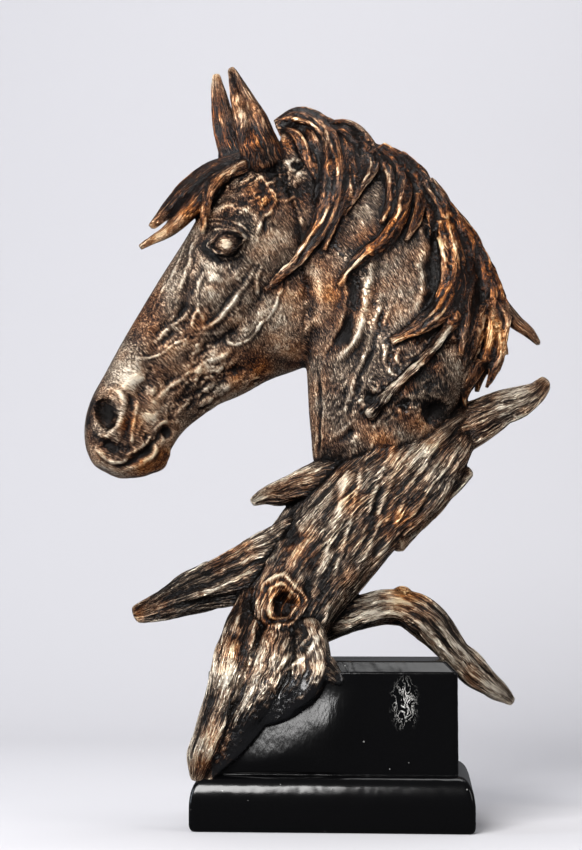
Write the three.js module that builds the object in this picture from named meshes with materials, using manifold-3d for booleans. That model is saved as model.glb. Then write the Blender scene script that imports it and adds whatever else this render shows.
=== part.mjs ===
// A horse's head and neck rising from driftwood, cast in one piece, on a black moulded plinth.
// Millimetres, +Z up. The horse faces -X and its near side is -Y.
// The origin is the middle of the plinth's underside.

import * as THREE from "three";
import Module from "manifold-3d";
import { mergeVertices } from "three/addons/utils/BufferGeometryUtils.js";

const wasm = await Module();
wasm.setup();

// Driving dimensions

const PLINTH = {
  baseWidth: 149,
  baseDepth: 112,
  blockWidth: 132,
  blockDepth: 96,
  footRound: 4,
  ovoloBottom: 13,
  ovoloTop: 29,
  top: 88,
  chamfer: 6,
};
const JOINT_GAP = 0.3;

// How far a face may move when slivers are taken out.
const SMALLEST_STEP = 0.15;

// The head turns towards the near side about a vertical line through the poll.
const HEAD_TURN = THREE.MathUtils.degToRad(15);
const POLL_X = -40.5;
const headFrame = new THREE.Matrix4().makeRotationZ(HEAD_TURN).setPosition(POLL_X, 0, 0);

// Sections of the head, from the nape to the lips. Each is a line from the profile (forehead and nose) to
// the jaw, as [forward, height] pairs in the head's own upright plane, with the half widths beside the
// profile and beside the jaw, and how square the section is (2 is an ellipse).
const HEAD = [
  { profile: [-16, 370], jaw: [-47, 313], widths: [18, 17], square: 2.2 },
  { profile: [1, 374], jaw: [-47, 279], widths: [23, 21], square: 2.2 },
  { profile: [17, 366], jaw: [-36, 258], widths: [27, 22], square: 2.3 },
  { profile: [31, 347], jaw: [-21, 250], widths: [29, 22], square: 2.4 },
  { profile: [44, 323], jaw: [-3, 243], widths: [26, 19], square: 2.5 },
  { profile: [57.5, 301], jaw: [13, 234], widths: [20.5, 15], square: 2.6 },
  { profile: [69.5, 280.5], jaw: [25.5, 228.5], widths: [16.5, 12.5], square: 2.6 },
  { profile: [80.5, 261], jaw: [36, 221], widths: [14.5, 11.5], square: 2.7 },
  { profile: [89, 244.5], jaw: [45, 213.5], widths: [15.5, 12.5], square: 3 },
  { profile: [96, 231], jaw: [51, 205], widths: [18, 14], square: 3.3 },
  { profile: [99.5, 218], jaw: [56, 195.5], widths: [18, 14.5], square: 3.3 },
  { profile: [99, 204], jaw: [65, 188.5], widths: [15.5, 13.5], square: 3 },
  { profile: [95, 194], jaw: [80, 186.5], widths: [9, 9], square: 2.4 },
];

// Sections of the neck, from the poll to the driftwood, from crest to throat, as [x, height] pairs.
const NECK = [
  { profile: [-30, 386], jaw: [-35, 335], widths: [15, 17], square: 2.25 },
  { profile: [-7, 383], jaw: [-21, 294], widths: [17, 21], square: 2.25 },
  { profile: [15, 371], jaw: [-18, 266], widths: [19, 24], square: 2.25 },
  { profile: [38, 355], jaw: [-16, 246], widths: [21, 26], square: 2.25 },
  { profile: [57, 334], jaw: [-15, 226], widths: [23, 27], square: 2.25 },
  { profile: [73, 308], jaw: [-13.5, 209], widths: [25, 28], square: 2.25 },
  { profile: [82, 279], jaw: [-11.5, 195], widths: [27, 28], square: 2.25 },
  { profile: [80, 252], jaw: [2.5, 184], widths: [26, 27], square: 2.25 },
  { profile: [67, 224], jaw: [24, 181], widths: [20, 22], square: 2.25 },
];

// Driftwood limbs. Each point is [x, y, height, radius in the upright plane, radius in depth].
const DRIFTWOOD = {
  trunk: [
    [-36, -8, 72, 17, 36],
    [-34, -8, 92, 20, 32],
    [-29, -7, 112, 27, 31],
    [-12, -3, 142, 30, 29],
    [9, 0, 167, 31, 28],
    [34, 2, 191, 31, 27],
    [55, 4, 211, 24, 23],
    [69, 5, 221, 15, 15],
  ],
  rightBranch: [
    [47, 2, 205, 16, 18],
    [75, 3, 218, 12.5, 12],
    [91.5, 4, 226, 10.5, 9.5],
    [103, 4, 230.5, 8.5, 7.5],
    [111, 4, 235, 6, 6],
    [117, 4, 241, 3.5, 3.5],
  ],
  lowRightBranch: [
    [29, 0, 164, 17, 18],
    [49, 2, 174, 10, 11],
    [61, 3, 182, 6.5, 7],
    [68, 3, 187, 5, 5],
    [74, 3, 191, 3.5, 3.5],
  ],
  leftStub: [
    [-1, -5, 186, 14, 14],
    [-18, -9, 183, 8.8, 11],
    [-29, -10, 179.5, 7.5, 8.5],
    [-38, -11, 177.5, 5, 6],
    [-45, -12, 174, 2.5, 3],
  ],
  leftBranch: [
    [-18, -6, 149, 20, 20],
    [-37, -8, 141, 17.5, 17],
    [-55, -10, 133, 15, 14],
    [-73, -11, 127, 12, 12],
    [-87, -12, 121, 9.5, 9.5],
    [-99, -12, 116, 7, 7],
    [-109, -13, 112.5, 4.5, 4.5],
  ],
  leftRoot: [
    [-40, -16, 117, 14, 13],
    [-47.5, -33, 97, 14, 12],
    [-52, -43, 80, 12, 10.5],
    [-57.5, -47, 64, 10, 9],
    [-63, -48, 50, 8.5, 8],
    [-67.5, -49, 38, 7.5, 6.5],
    [-70.5, -49.5, 27, 3.5, 3.5],
  ],
  middleRoot: [
    [-27, -30, 104, 14, 10],
    [-31, -42, 88, 14, 9],
    [-37, -47, 72, 13, 8],
    [-45, -49, 57, 11, 6.5],
    [-53, -49.5, 44, 8, 5],
    [-59.5, -49.5, 34, 4.5, 4],
    [-65, -49.5, 26, 2, 2.5],
  ],
  frontRoot: [
    [-16, -30, 103, 11, 9],
    [-11, -42, 88, 11, 8.5],
    [-14, -47.5, 75, 9, 6.5],
    [-25, -49, 64, 6.5, 5],
    [-35, -49.5, 57, 3, 3],
  ],
  sideRoot: [
    [-21, -28, 102, 9, 9],
    [-12, -38, 91, 8.5, 9],
    [-3, -44, 83, 7, 6.5],
    [5, -47, 77, 2.5, 3],
  ],
  neckTwig: [
    [64, -24, 268, 1.4, 3],
    [56, -27, 257, 1.9, 3.6],
    [44, -28, 245, 2.2, 4],
    [31, -28, 233, 2.6, 4.5],
    [20, -27, 220, 3.2, 5.5],
  ],
  rightRoot: [
    [-17, 2, 106, 13, 14],
    [-1, 2, 108.5, 10, 12],
    [17, 3, 114, 9, 11],
    [30, 4, 116.5, 9.5, 11],
    [41, 5, 114.5, 10, 11],
    [52, 5, 106.5, 10, 10.5],
    [63, 6, 93.5, 9, 10],
    [76, 6, 80, 8, 8.5],
    [89, 6, 70, 5.5, 6],
    [96, 6, 64.5, 2.5, 2.5],
  ],
};
const FLUTE_DEPTH = 0.075;
const KNOT = { centre: [-26.5, -36, 118], halfWidth: 10.5, halfHeight: 13, rim: 2.8, hole: 7, holeDepth: 7 };
const ROOT_KNOB = { centre: [36.5, 4, 122], radius: 6 };

// Locks of the mane, as [x, height] pairs from the crest down. Each lies on the neck or cheek that is under
// it, and the ones marked far are cast on the far side too.
const LOCKS = [
  {
    width: 14,
    far: true,
    path: [
      [-33, 387], [-19, 392], [-5, 382], [0, 366],
      [0, 346], [-7, 324], [-22, 305], [-38, 290],
    ],
  },
  { width: 11, path: [[-13, 389], [1, 377], [5.5, 360], [3.5, 338], [-4.5, 312]] },
  { width: 7, path: [[-28, 385], [-19, 376], [-13, 363], [-9, 351]] },
  { width: 12, far: true, path: [[-4, 387], [8, 384], [17.5, 371], [19.5, 358.5], [14, 346], [5.5, 332]] },
  { width: 9, path: [[-5, 383], [5, 375], [10.5, 359], [10, 346], [5, 334]] },
  { width: 9, path: [[18, 376], [25.5, 368], [30.5, 353.5], [32, 340.5], [26.5, 327]] },
  {
    width: 12,
    far: true,
    path: [
      [25, 374], [34, 365], [38, 348], [36.5, 331],
      [28, 317], [16, 308], [3, 292],
    ],
  },
  { width: 9, path: [[36, 370], [44, 360], [47, 345], [45, 329], [40, 317]] },
  { width: 10, far: true, path: [[42, 363], [50, 352], [53, 336], [53.5, 319]] },
  {
    width: 17,
    far: true,
    path: [
      [51, 354], [58, 340], [61, 321], [63.5, 305],
      [63.5, 291], [57, 277], [46, 267], [32, 260],
    ],
  },
  { width: 11, path: [[60, 344], [67.5, 332], [71.5, 316], [73, 299], [69.5, 282], [62, 267], [50, 254]] },
  { width: 11, far: true, path: [[69, 332], [76.5, 317], [76.5, 300], [73, 285], [72, 269], [69, 253]] },
  { width: 10, path: [[76, 320], [83.5, 305], [82, 287], [79, 272], [76, 256]] },
  {
    width: 12,
    far: true,
    path: [
      [82, 307], [88.5, 292], [87, 274], [83, 258],
      [76, 245], [71, 235], [73, 219],
    ],
  },
  { width: 11, path: [[87, 292], [92.5, 279], [92, 263], [89, 250], [83.5, 237]] },
];
const LOCK_LIFT = 1.4;
const LOCK_THICKNESS = 0.75;
const LOCK_THINNEST = 1.8;
const LOCK_SPACING = 14;

// A lock closer to the middle plane than this lies on the crest of the neck.
const CREST_HALF = 3;
const OUTSIDE = 200;

// Wisps that leave the back of the neck, as limbs.
const WISPS = [
  [
    [85, 0, 293, 5.5, 7], [94, -1, 281, 5, 6], [101, -1, 274, 4, 4.5], [108, -2, 268, 3, 3],
    [113, -2, 262, 1.5, 1.5],
  ],
  [[85, -3, 285, 5, 6], [91, -4, 268, 3.5, 4], [95, -4, 256, 1.4, 1.4]],
];

// Locks of the forelock in the head's plane, as [forward, side, height, radius, radius in depth]; near side
// is minus.
const FORELOCK = [
  [
    [8, 2, 370, 7, 12], [28, 0, 361, 8, 12], [42, 0, 350, 7.5, 10], [52, -1, 340, 6, 7],
    [64, -2, 328, 2.6, 3],
  ],
  [
    [10, -8, 364, 7, 11], [31, -7, 349.5, 8.5, 10], [43, -7, 337, 7, 9], [54, -8, 325.5, 4.8, 6],
    [70.5, -9, 314.5, 2, 2.4],
  ],
  [[14, -14, 362, 4.5, 6], [30, -17, 350, 4, 5], [36, -19, 336, 3.2, 3.5], [38, -20, 322, 1.4, 1.5]],
  [[10, 9, 366, 6, 9], [32, 10, 354, 7, 8], [45, 10, 340, 5.5, 6], [56, 10, 326, 2.2, 2.4]],
];

// The ears, in the head's plane; each point is [forward, side, height, radius, radius in depth]. A hollow
// is its ear, smaller and moved towards the front and the outside.
const EARS = [
  [
    [1, -12, 364, 13, 9], [6, -14, 376, 11, 8], [10, -15, 387, 9.5, 7], [14.5, -15.5, 398, 7, 5.5],
    [18.5, -16, 408, 4.3, 3.8], [21.5, -16, 416, 2.2, 2.2],
  ],
  [
    [11, 10, 364, 11, 9], [16.5, 12, 376, 8.5, 8], [20, 13, 387, 7.5, 7], [22.5, 14, 399, 6.3, 5.5],
    [24.5, 14, 411, 4.6, 4], [25.5, 14, 422, 2.2, 2.2],
  ],
];
const EAR_HOLLOW = { forward: 4, side: 4.5, up: 2.5, scale: 0.7 };

const EYE = { forward: 25.5, side: 26, height: 315, radius: 7.2 };
const CHEEK = { forward: -17, side: 14, height: 283, radii: [31, 11, 31] };
const CHIN = { forward: 66, height: 200.5, radii: [13.5, 12.5, 10] };
const NOSTRIL = {
  forward: 90,
  foremost: 96,
  height: 222,
  length: 21,
  width: 12.5,
  depth: 6,
  lean: 20,
  rim: 2.3,
};

// Relief of the face, as [forward, height, radius, radius in depth]: each line lies on the skin of both
// sides.
const RIDGES = [
  [
    [10, 293, 3, 3.5], [18, 282.5, 3.4, 4], [26, 274, 3.4, 4], [33, 269, 2.8, 3.4],
    [46, 264, 2.2, 2.8], [57, 258, 1.8, 2.2], [68, 252, 1, 1.4],
  ],
  [[24, 253, 1.5, 2], [37, 246, 2.6, 3], [48, 238, 2.8, 3], [57, 230, 2.6, 2.8], [66, 222, 1.6, 2]],
  [
    [-6, 284, 2, 2.4], [-1, 275, 2.6, 3], [8, 266, 3, 3.4], [16, 260, 3, 3.4],
    [23, 260, 2.4, 2.6], [26, 268, 1.2, 1.6],
  ],
];
const MOUTH = [
  [96, 200.5, 2, 2], [88, 195, 2.2, 2.4], [80, 193.5, 2.2, 2.6], [73, 197.5, 2.2, 2.6],
  [66.5, 203, 2.2, 2.6], [62, 210, 2.4, 2.6], [56, 214.5, 1.8, 2], [50, 216.5, 0.9, 1],
];

const COLOURS = {
  bronze: new THREE.MeshStandardMaterial({
    name: "aged_bronze",
    color: 0x6a4320,
    roughness: 0.42,
    metalness: 0.75,
  }),
  black: new THREE.MeshStandardMaterial({
    name: "gloss_black",
    color: 0x0a0a0b,
    roughness: 0.12,
    metalness: 0,
  }),
};

// Solids

// A geometry as a solid, turned the right way out.
function solid(geometry) {
  const bare = geometry.clone();
  bare.deleteAttribute("normal");
  bare.deleteAttribute("uv");
  const merged = mergeVertices(bare, 1e-4);
  const triVerts = new Uint32Array(merged.index.array);
  const shape = (order) =>
    new wasm.Manifold(
      new wasm.Mesh({ numProp: 3, vertProperties: merged.attributes.position.array, triVerts: order }),
    );
  const made = shape(triVerts);
  return made.volume() > 0 ? made : shape(triVerts.reverse());
}

function geometryOf(manifold) {
  const mesh = manifold.getMesh();
  return new THREE.BufferGeometry()
    .setAttribute("position", new THREE.BufferAttribute(mesh.vertProperties, 3))
    .setIndex(new THREE.BufferAttribute(mesh.triVerts, 1));
}

const unionOf = (solids) => solids.reduce((whole, one) => whole.add(one));

// Wraps the grid of a sphere round a row of sections. place(along, round) gives the point at a share of the
// length and an angle; the two poles close the ends.
function wrap(sides, rings, place) {
  const geometry = new THREE.SphereGeometry(1, sides, rings);
  const position = geometry.getAttribute("position");
  const columns = sides + 1;
  for (let i = 0; i < position.count; i++) {
    const ring = Math.floor(i / columns);
    const round = (2 * Math.PI * ((i % columns) % sides)) / sides;
    const point = place(ring, round);
    position.setXYZ(i, point.x, point.y, point.z);
  }
  return geometry;
}

const UPRIGHT = new THREE.Vector3(0, 1, 0);

// A limb with a round or fluted section that follows a smooth curve through its points, [x, y, z, radius in
// the upright plane, radius in depth].
function limb(points, { sides = 10, rings = points.length * 2 + 1, flutes = null } = {}) {
  const path = new THREE.CatmullRomCurve3(points.map((p) => new THREE.Vector3(p[0], p[1], p[2])));
  const girth = new THREE.CatmullRomCurve3(points.map((p) => new THREE.Vector3(p[3], p[4], 0)));
  const last = rings;
  return wrap(sides, rings, (ring, round) => {
    const along = THREE.MathUtils.clamp((ring - 1) / (last - 2), 0, 1);
    const centre = path.getPoint(along);
    const tangent = path.getTangent(along);
    const radii = girth.getPoint(along);
    if (ring === 0) return centre.addScaledVector(tangent, -0.5 * radii.x);
    if (ring === last) return centre.addScaledVector(tangent, 0.5 * radii.x);
    const depth = UPRIGHT.clone().addScaledVector(tangent, -UPRIGHT.dot(tangent)).normalize();
    const across = new THREE.Vector3().crossVectors(depth, tangent);
    const swell = flutes ? 1 + FLUTE_DEPTH * flutes(round, along) : 1;
    return centre
      .addScaledVector(across, radii.x * swell * Math.cos(round))
      .addScaledVector(depth, radii.y * swell * Math.sin(round));
  });
}

// The grain of driftwood as ridges that run along a limb and slowly wind round it.
const woodGrain = (seed) => (round, along) =>
  0.6 * Math.sin(3 * round + seed + 2.4 * along) +
  0.55 * Math.sin(5 * round - 1.7 * seed - 3.1 * along) +
  0.35 * Math.sin(2 * round + 9 * along + seed);

// A body whose sections run from a profile line to a jaw line, with a half width beside each.
function body(sections, { sides = 20, rings = 24 } = {}) {
  const curve = (pick) => new THREE.CatmullRomCurve3(sections.map((s) => new THREE.Vector3(...pick(s), 0)));
  const profile = curve((s) => s.profile);
  const jaw = curve((s) => s.jaw);
  const widths = curve((s) => s.widths);
  const squareness = curve((s) => [s.square, 0]);
  return wrap(sides, rings, (ring, angle) => {
    const along = THREE.MathUtils.clamp((ring - 1) / (rings - 2), 0, 1);
    const top = profile.getPoint(along);
    const bottom = jaw.getPoint(along);
    const width = widths.getPoint(along);
    const power = 2 / squareness.getPoint(along).x;
    const round = (value) => Math.sign(value) * Math.pow(Math.abs(value), power);
    const pole = ring === 0 || ring === rings;
    const up = pole ? 0 : round(Math.sin(angle));
    const side = pole ? 0 : round(Math.cos(angle)) * THREE.MathUtils.lerp(width.y, width.x, (up + 1) / 2);
    const share = (up + 1) / 2;
    const forward = THREE.MathUtils.lerp(bottom.x, top.x, share);
    return new THREE.Vector3(forward, side, THREE.MathUtils.lerp(bottom.y, top.y, share));
  });
}

// Head pieces are drawn as [forward, side, height]; forward becomes -X, and the head frame turns them.
const headPoints = (points, mirror = 1) => points.map(([f, s, h, ...radii]) => [-f, mirror * s, h, ...radii]);
const toHead = (geometry) => geometry.applyMatrix4(headFrame);

function ellipsoid([x, y, z], [rx, ry, rz], { sides = 14, rings = 9, lean = 0 } = {}) {
  return new THREE.SphereGeometry(1, sides, rings)
    .scale(rx, ry, rz)
    .rotateY(THREE.MathUtils.degToRad(lean))
    .translate(x, y, z);
}

function headAndNeck() {
  const facing = HEAD.map((section) => ({
    ...section,
    profile: [-section.profile[0], section.profile[1]],
    jaw: [-section.jaw[0], section.jaw[1]],
  }));
  const skull = body(facing, { sides: 20, rings: 22 });
  const neck = body(NECK, { sides: 14, rings: 12 });
  const skin = new THREE.Mesh(skull, new THREE.MeshBasicMaterial({ side: THREE.DoubleSide }));
  const added = [solid(toHead(skull.clone())), solid(neck)];
  added.push(solid(toHead(ellipsoid([-CHIN.forward, 0, CHIN.height], CHIN.radii, { lean: 25 }))));
  const cut = [];
  for (const side of [-1, 1]) {
    const cheek = [-CHEEK.forward, side * CHEEK.side, CHEEK.height];
    added.push(solid(toHead(ellipsoid(cheek, CHEEK.radii, { sides: 14, rings: 8 }))));
    for (const ridge of RIDGES) {
      added.push(solid(toHead(limb(laidOn(skin, ridge, side), { sides: 6, rings: 8 }))));
    }
    added.push(solid(toHead(limb(laidOn(skin, nostrilRim(), side), { sides: 6, rings: 12 }))));
    const at = new THREE.Vector3(-NOSTRIL.forward, 0, NOSTRIL.height);
    const hole = [at.x, depthOn(skin, at, side, 1.5), at.z];
    const radii = [NOSTRIL.width / 2, NOSTRIL.depth, NOSTRIL.length / 2];
    cut.push(solid(toHead(ellipsoid(hole, radii, { sides: 8, rings: 6, lean: NOSTRIL.lean }))));
    cut.push(solid(toHead(limb(laidOn(skin, MOUTH, side), { sides: 4, rings: 9 }))));
    cut.push(solid(toHead(eyeSocket(side))));
  }
  let made = unionOf(added).subtract(unionOf(cut));
  for (const side of [-1, 1]) made = made.add(eye(side));
  for (const points of EARS) made = made.add(ear(points));
  const locks = FORELOCK.map((lock) => solid(toHead(limb(headPoints(lock), { sides: 6, rings: 8 }))));
  return unionOf([made, ...locks]);
}

// A line of relief, [forward, height, radius, radius in depth], as limb points on one side of the skull.
function laidOn(skin, line, side) {
  return line.map(([forward, height, ...radii]) => {
    const at = new THREE.Vector3(-forward, 0, height);
    return [at.x, depthOn(skin, at, side, 0), at.z, ...radii];
  });
}

// The rim of a nostril, from the lip round the back to the front.
function nostrilRim() {
  const steps = 9;
  const lean = THREE.MathUtils.degToRad(NOSTRIL.lean);
  return Array.from({ length: steps }, (_, i) => {
    const angle = THREE.MathUtils.degToRad(-125 + (290 * i) / (steps - 1));
    const back = (NOSTRIL.width / 2 + NOSTRIL.rim * 0.6) * Math.cos(angle);
    const up = (NOSTRIL.length / 2 + NOSTRIL.rim * 0.4) * Math.sin(angle);
    const forward = NOSTRIL.forward - back * Math.cos(lean) + up * Math.sin(lean);
    const height = NOSTRIL.height + back * Math.sin(lean) + up * Math.cos(lean);
    return [Math.min(forward, NOSTRIL.foremost), height, NOSTRIL.rim, NOSTRIL.rim];
  });
}

function eyeSocket(side) {
  const [x, y, z] = [-EYE.forward, side * (EYE.side + 3.5), EYE.height];
  const radii = [EYE.radius * 1.35, EYE.radius * 0.8, EYE.radius * 0.95];
  return ellipsoid([x, y, z], radii, { sides: 9, rings: 6, lean: -20 });
}

// The eyeball with a lid above and below it.
function eye(side) {
  const place = [-EYE.forward, side * EYE.side, EYE.height];
  const ball = solid(toHead(ellipsoid(place, Array(3).fill(EYE.radius), { sides: 10, rings: 7 })));
  const lid = (lift, girth) => {
    const steps = 5;
    const points = Array.from({ length: steps }, (_, i) => {
      const share = i / (steps - 1);
      const bow = Math.sin(Math.PI * share);
      const forward = EYE.forward + EYE.radius * 1.5 * (1 - 2 * share);
      const out = EYE.side + 1.5 + 2.6 * bow;
      return [forward, out, EYE.height + lift * bow - 3 * (1 - 2 * share), girth, girth];
    });
    return solid(toHead(limb(headPoints(points, side), { sides: 5, rings: 7 })));
  };
  return unionOf([ball, lid(EYE.radius * 0.95, 2.1), lid(-EYE.radius * 0.85, 1.5)]);
}

function ear(points) {
  const shell = limb(headPoints(points), { sides: 10, rings: 9 });
  const hollow = points.slice(1).map(([forward, side, height, radius, depth]) => [
    forward + EAR_HOLLOW.forward,
    side + Math.sign(side) * EAR_HOLLOW.side,
    height + EAR_HOLLOW.up,
    radius * EAR_HOLLOW.scale,
    depth * EAR_HOLLOW.scale,
  ]);
  return solid(toHead(shell)).subtract(solid(toHead(limb(headPoints(hollow), { sides: 8, rings: 7 }))));
}

// The locks of one side of the mane, laid on what is under them.
function maneOf(side, locks, under) {
  const ground = new THREE.Mesh(geometryOf(under), new THREE.MeshBasicMaterial({ side: THREE.DoubleSide }));
  return locks.map((lock) => {
    const path = new THREE.CatmullRomCurve3(lock.path.map(([x, z]) => new THREE.Vector3(x, 0, z)));
    const steps = 2 + Math.round(path.getLength() / LOCK_SPACING);
    const points = Array.from({ length: steps }, (_, i) => {
      const share = i / (steps - 1);
      const at = path.getPointAt(share);
      const swell = 0.35 + 0.8 * Math.sin(Math.PI * (0.15 + 0.8 * share));
      const radius = (lock.width / 2) * swell * (1 - 0.5 * share ** 3);
      const thick = Math.max(LOCK_THINNEST, radius * LOCK_THICKNESS);
      return [at.x, depthOn(ground, at, side, LOCK_LIFT), at.z, radius, thick];
    });
    return solid(limb(points, { sides: 5, rings: steps + 3 }));
  });
}

// How far from the middle plane a point seen from one side lies on the ground under it; on the crest it is
// near 0.
function depthOn(ground, at, side, lift) {
  const from = new THREE.Vector3(at.x, side * OUTSIDE, at.z);
  const hit = new THREE.Raycaster(from, new THREE.Vector3(0, -side, 0)).intersectObject(ground)[0];
  return hit && side * hit.point.y > CREST_HALF ? hit.point.y + side * lift : side * CREST_HALF;
}

function driftwood() {
  const thick = { trunk: [18, 17], leftRoot: [9, 10], rightRoot: [9, 14], leftBranch: [9, 10] };
  const limbs = Object.entries(DRIFTWOOD).map(([name, points], index) => {
    const [sides, rings] = thick[name] ?? [8, 8];
    return solid(limb(points, { sides, rings, flutes: woodGrain(index) }));
  });
  const knob = solid(ellipsoid(ROOT_KNOB.centre, Array(3).fill(ROOT_KNOB.radius), { sides: 9, rings: 6 }));
  return knotted(unionOf([...limbs, knob]));
}

// A branch scar on the near face: two rings of healed bark round a hole with a boss in it.
function knotted(wood) {
  const [x, y, z] = KNOT.centre;
  const ring = (share, thickness) =>
    solid(
      new THREE.TorusGeometry(1, thickness / KNOT.halfWidth, 5, 12)
        .rotateX(Math.PI / 2)
        .scale(KNOT.halfWidth * share, KNOT.rim * 3, KNOT.halfHeight * share)
        .translate(x, y, z),
    );
  const radii = [KNOT.hole, KNOT.holeDepth, KNOT.hole * 1.15];
  const hole = solid(ellipsoid([x, y, z], radii, { sides: 9, rings: 6 }));
  return wood.add(ring(1, KNOT.rim)).subtract(hole);
}

// A box whose edges follow a profile: inset(z) is how far each side stands in from the base's outline.
function plinth() {
  const [w, d] = [PLINTH.baseWidth / 2, PLINTH.baseDepth / 2];
  const step = [w - PLINTH.blockWidth / 2, d - PLINTH.blockDepth / 2];
  const levels = [[0, 1.5, 1.5], [PLINTH.footRound, 0, 0], [PLINTH.ovoloBottom, 0, 0]];
  const arcSteps = 5;
  for (let i = 1; i <= arcSteps; i++) {
    const angle = ((Math.PI / 2) * i) / arcSteps;
    const height = THREE.MathUtils.lerp(PLINTH.ovoloBottom, PLINTH.ovoloTop, Math.sin(angle));
    const inward = 1 - Math.cos(angle);
    levels.push([height, step[0] * inward, step[1] * inward]);
  }
  levels.push([PLINTH.top - PLINTH.chamfer, ...step]);
  levels.push([PLINTH.top, step[0] + PLINTH.chamfer, step[1] + PLINTH.chamfer]);
  const geometry = new THREE.BoxGeometry(2, 2, 1, 1, 1, levels.length - 1);
  const position = geometry.getAttribute("position");
  for (let i = 0; i < position.count; i++) {
    const level = levels[Math.round((position.getZ(i) + 0.5) * (levels.length - 1))];
    const [sx, sy] = [Math.sign(position.getX(i)), Math.sign(position.getY(i))];
    position.setXYZ(i, sx * (w - level[1]), sy * (d - level[2]), level[0]);
  }
  return geometry;
}

function figure(stand) {
  const bust = headAndNeck();
  const far = LOCKS.filter((lock) => lock.far);
  const mane = [...maneOf(-1, LOCKS, bust), ...maneOf(1, far, bust)];
  const wisps = WISPS.map((wisp) => solid(limb(wisp, { sides: 5, rings: 7 })));
  const whole = tidied(outerShell(unionOf([bust, ...mane, ...wisps, driftwood()])), SMALLEST_STEP);
  const room = stand.scale([
    1 + (2 * JOINT_GAP) / PLINTH.blockWidth,
    1 + (2 * JOINT_GAP) / PLINTH.blockDepth,
    1 + JOINT_GAP / PLINTH.top,
  ]);
  return outerShell(whole.subtract(room));
}

// Takes out the slivers left where pieces cross: a corner moves onto a neighbour when no face around it
// then moves by more than the allowance or turns over.
function tidied(manifold, allowance) {
  const mesh = manifold.getMesh();
  const points = [];
  for (let i = 0; i < mesh.vertProperties.length; i += 3) {
    points.push(new THREE.Vector3().fromArray(mesh.vertProperties, i));
  }
  const faces = [];
  for (let i = 0; i < mesh.triVerts.length; i += 3) faces.push([...mesh.triVerts.slice(i, i + 3)]);
  const around = points.map(() => new Set());
  faces.forEach((face, i) => face.forEach((corner) => around[corner].add(i)));
  const triangle = new THREE.Triangle();
  const normalOf = (a, b, c) => triangle.set(points[a], points[b], points[c]).getNormal(new THREE.Vector3());
  const neighbours = (v) => new Set([...around[v]].flatMap((i) => faces[i]).filter((other) => other !== v));

  // How far the faces round a corner move when it goes to another one, or Infinity where it can't.
  function moveCost(from, to) {
    let cost = 0;
    for (const i of around[from]) {
      const before = normalOf(...faces[i]);
      const gap = Math.abs(before.dot(new THREE.Vector3().subVectors(points[to], points[from])));
      cost = Math.max(cost, gap);
      if (cost > allowance) return Infinity;
      if (faces[i].includes(to)) continue;
      const after = normalOf(...faces[i].map((corner) => (corner === from ? to : corner)));
      if (after.dot(before) < 0.35) return Infinity;
    }
    return cost;
  }

  function move(from, to) {
    for (const i of around[from]) {
      if (faces[i].includes(to)) {
        for (const corner of faces[i]) if (corner !== from) around[corner].delete(i);
        faces[i] = null;
      } else {
        faces[i] = faces[i].map((corner) => (corner === from ? to : corner));
        around[to].add(i);
      }
    }
    around[from].clear();
  }

  for (let pass = 0; pass < 6; pass++) {
    const edges = faces.flatMap((face) => (face ? [0, 1, 2].map((k) => [face[k], face[(k + 1) % 3]]) : []));
    const short = edges.filter(([a, b]) => a < b).map(([a, b]) => [points[a].distanceTo(points[b]), a, b]);
    const moved = new Set();
    for (const [, a, b] of short.sort((p, q) => p[0] - q[0])) {
      if (moved.has(a) || moved.has(b)) continue;
      const shared = [...neighbours(a)].filter((corner) => neighbours(b).has(corner));
      if (shared.length !== 2) continue;
      const [there, back] = [moveCost(a, b), moveCost(b, a)];
      if (Math.min(there, back) === Infinity) continue;
      for (const corner of [...neighbours(a), ...neighbours(b)]) moved.add(corner);
      move(...(there < back ? [a, b] : [b, a]));
    }
    if (moved.size === 0) break;
  }
  const triVerts = new Uint32Array(faces.filter(Boolean).flat());
  const { vertProperties } = mesh;
  return new wasm.Manifold(new wasm.Mesh({ numProp: 3, vertProperties, triVerts }));
}

// The outside of a solid, without the small pockets closed in where pieces cross: the shell with the most
// triangles.
function outerShell(manifold) {
  const mesh = manifold.getMesh();
  const group = Array.from({ length: mesh.vertProperties.length / 3 }, (_, i) => i);
  const root = (i) => {
    while (group[i] !== i) i = group[i] = group[group[i]];
    return i;
  };
  const triangles = [];
  for (let i = 0; i < mesh.triVerts.length; i += 3) triangles.push(mesh.triVerts.slice(i, i + 3));
  for (const [a, b, c] of triangles) {
    group[root(a)] = root(b);
    group[root(b)] = root(c);
  }
  const size = new Map();
  for (const [a] of triangles) size.set(root(a), (size.get(root(a)) ?? 0) + 1);
  const biggest = [...size.entries()].reduce((most, one) => (one[1] > most[1] ? one : most))[0];
  const kept = triangles.filter(([a]) => root(a) === biggest).flatMap((triangle) => [...triangle]);
  const { vertProperties } = mesh;
  return new wasm.Manifold(new wasm.Mesh({ numProp: 3, vertProperties, triVerts: new Uint32Array(kept) }));
}

function named(name, manifold, material) {
  const mesh = new THREE.Mesh(geometryOf(manifold), material);
  mesh.name = name;
  return mesh;
}

const stand = solid(plinth());
const statue = new THREE.Group();
statue.add(named("horse_and_driftwood", figure(stand), COLOURS.bronze));
statue.add(named("plinth", stand, COLOURS.black));

export default statue;
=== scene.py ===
# %% [markdown]
# # A horse's head growing out of driftwood
#
# This statue is one resin casting, painted black-brown and rubbed with copper and gold, on a black
# lacquered plinth. The lesson builds the casting from simple lofts, melts them into one skin with a voxel
# remesh, carves the fine relief into that skin with numpy, and paints it by how high or low each spot lies.
# That is how the real finish is made too: dark paint everywhere, then metal wax rubbed over whatever stands
# proud.
#
# First the frame is loaded. It holds the solids that this model dresses, so every size below agrees with
# them.

import math
from dataclasses import dataclass

import bpy
import numpy as np
from mathutils import Matrix, Vector, kdtree


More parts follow.
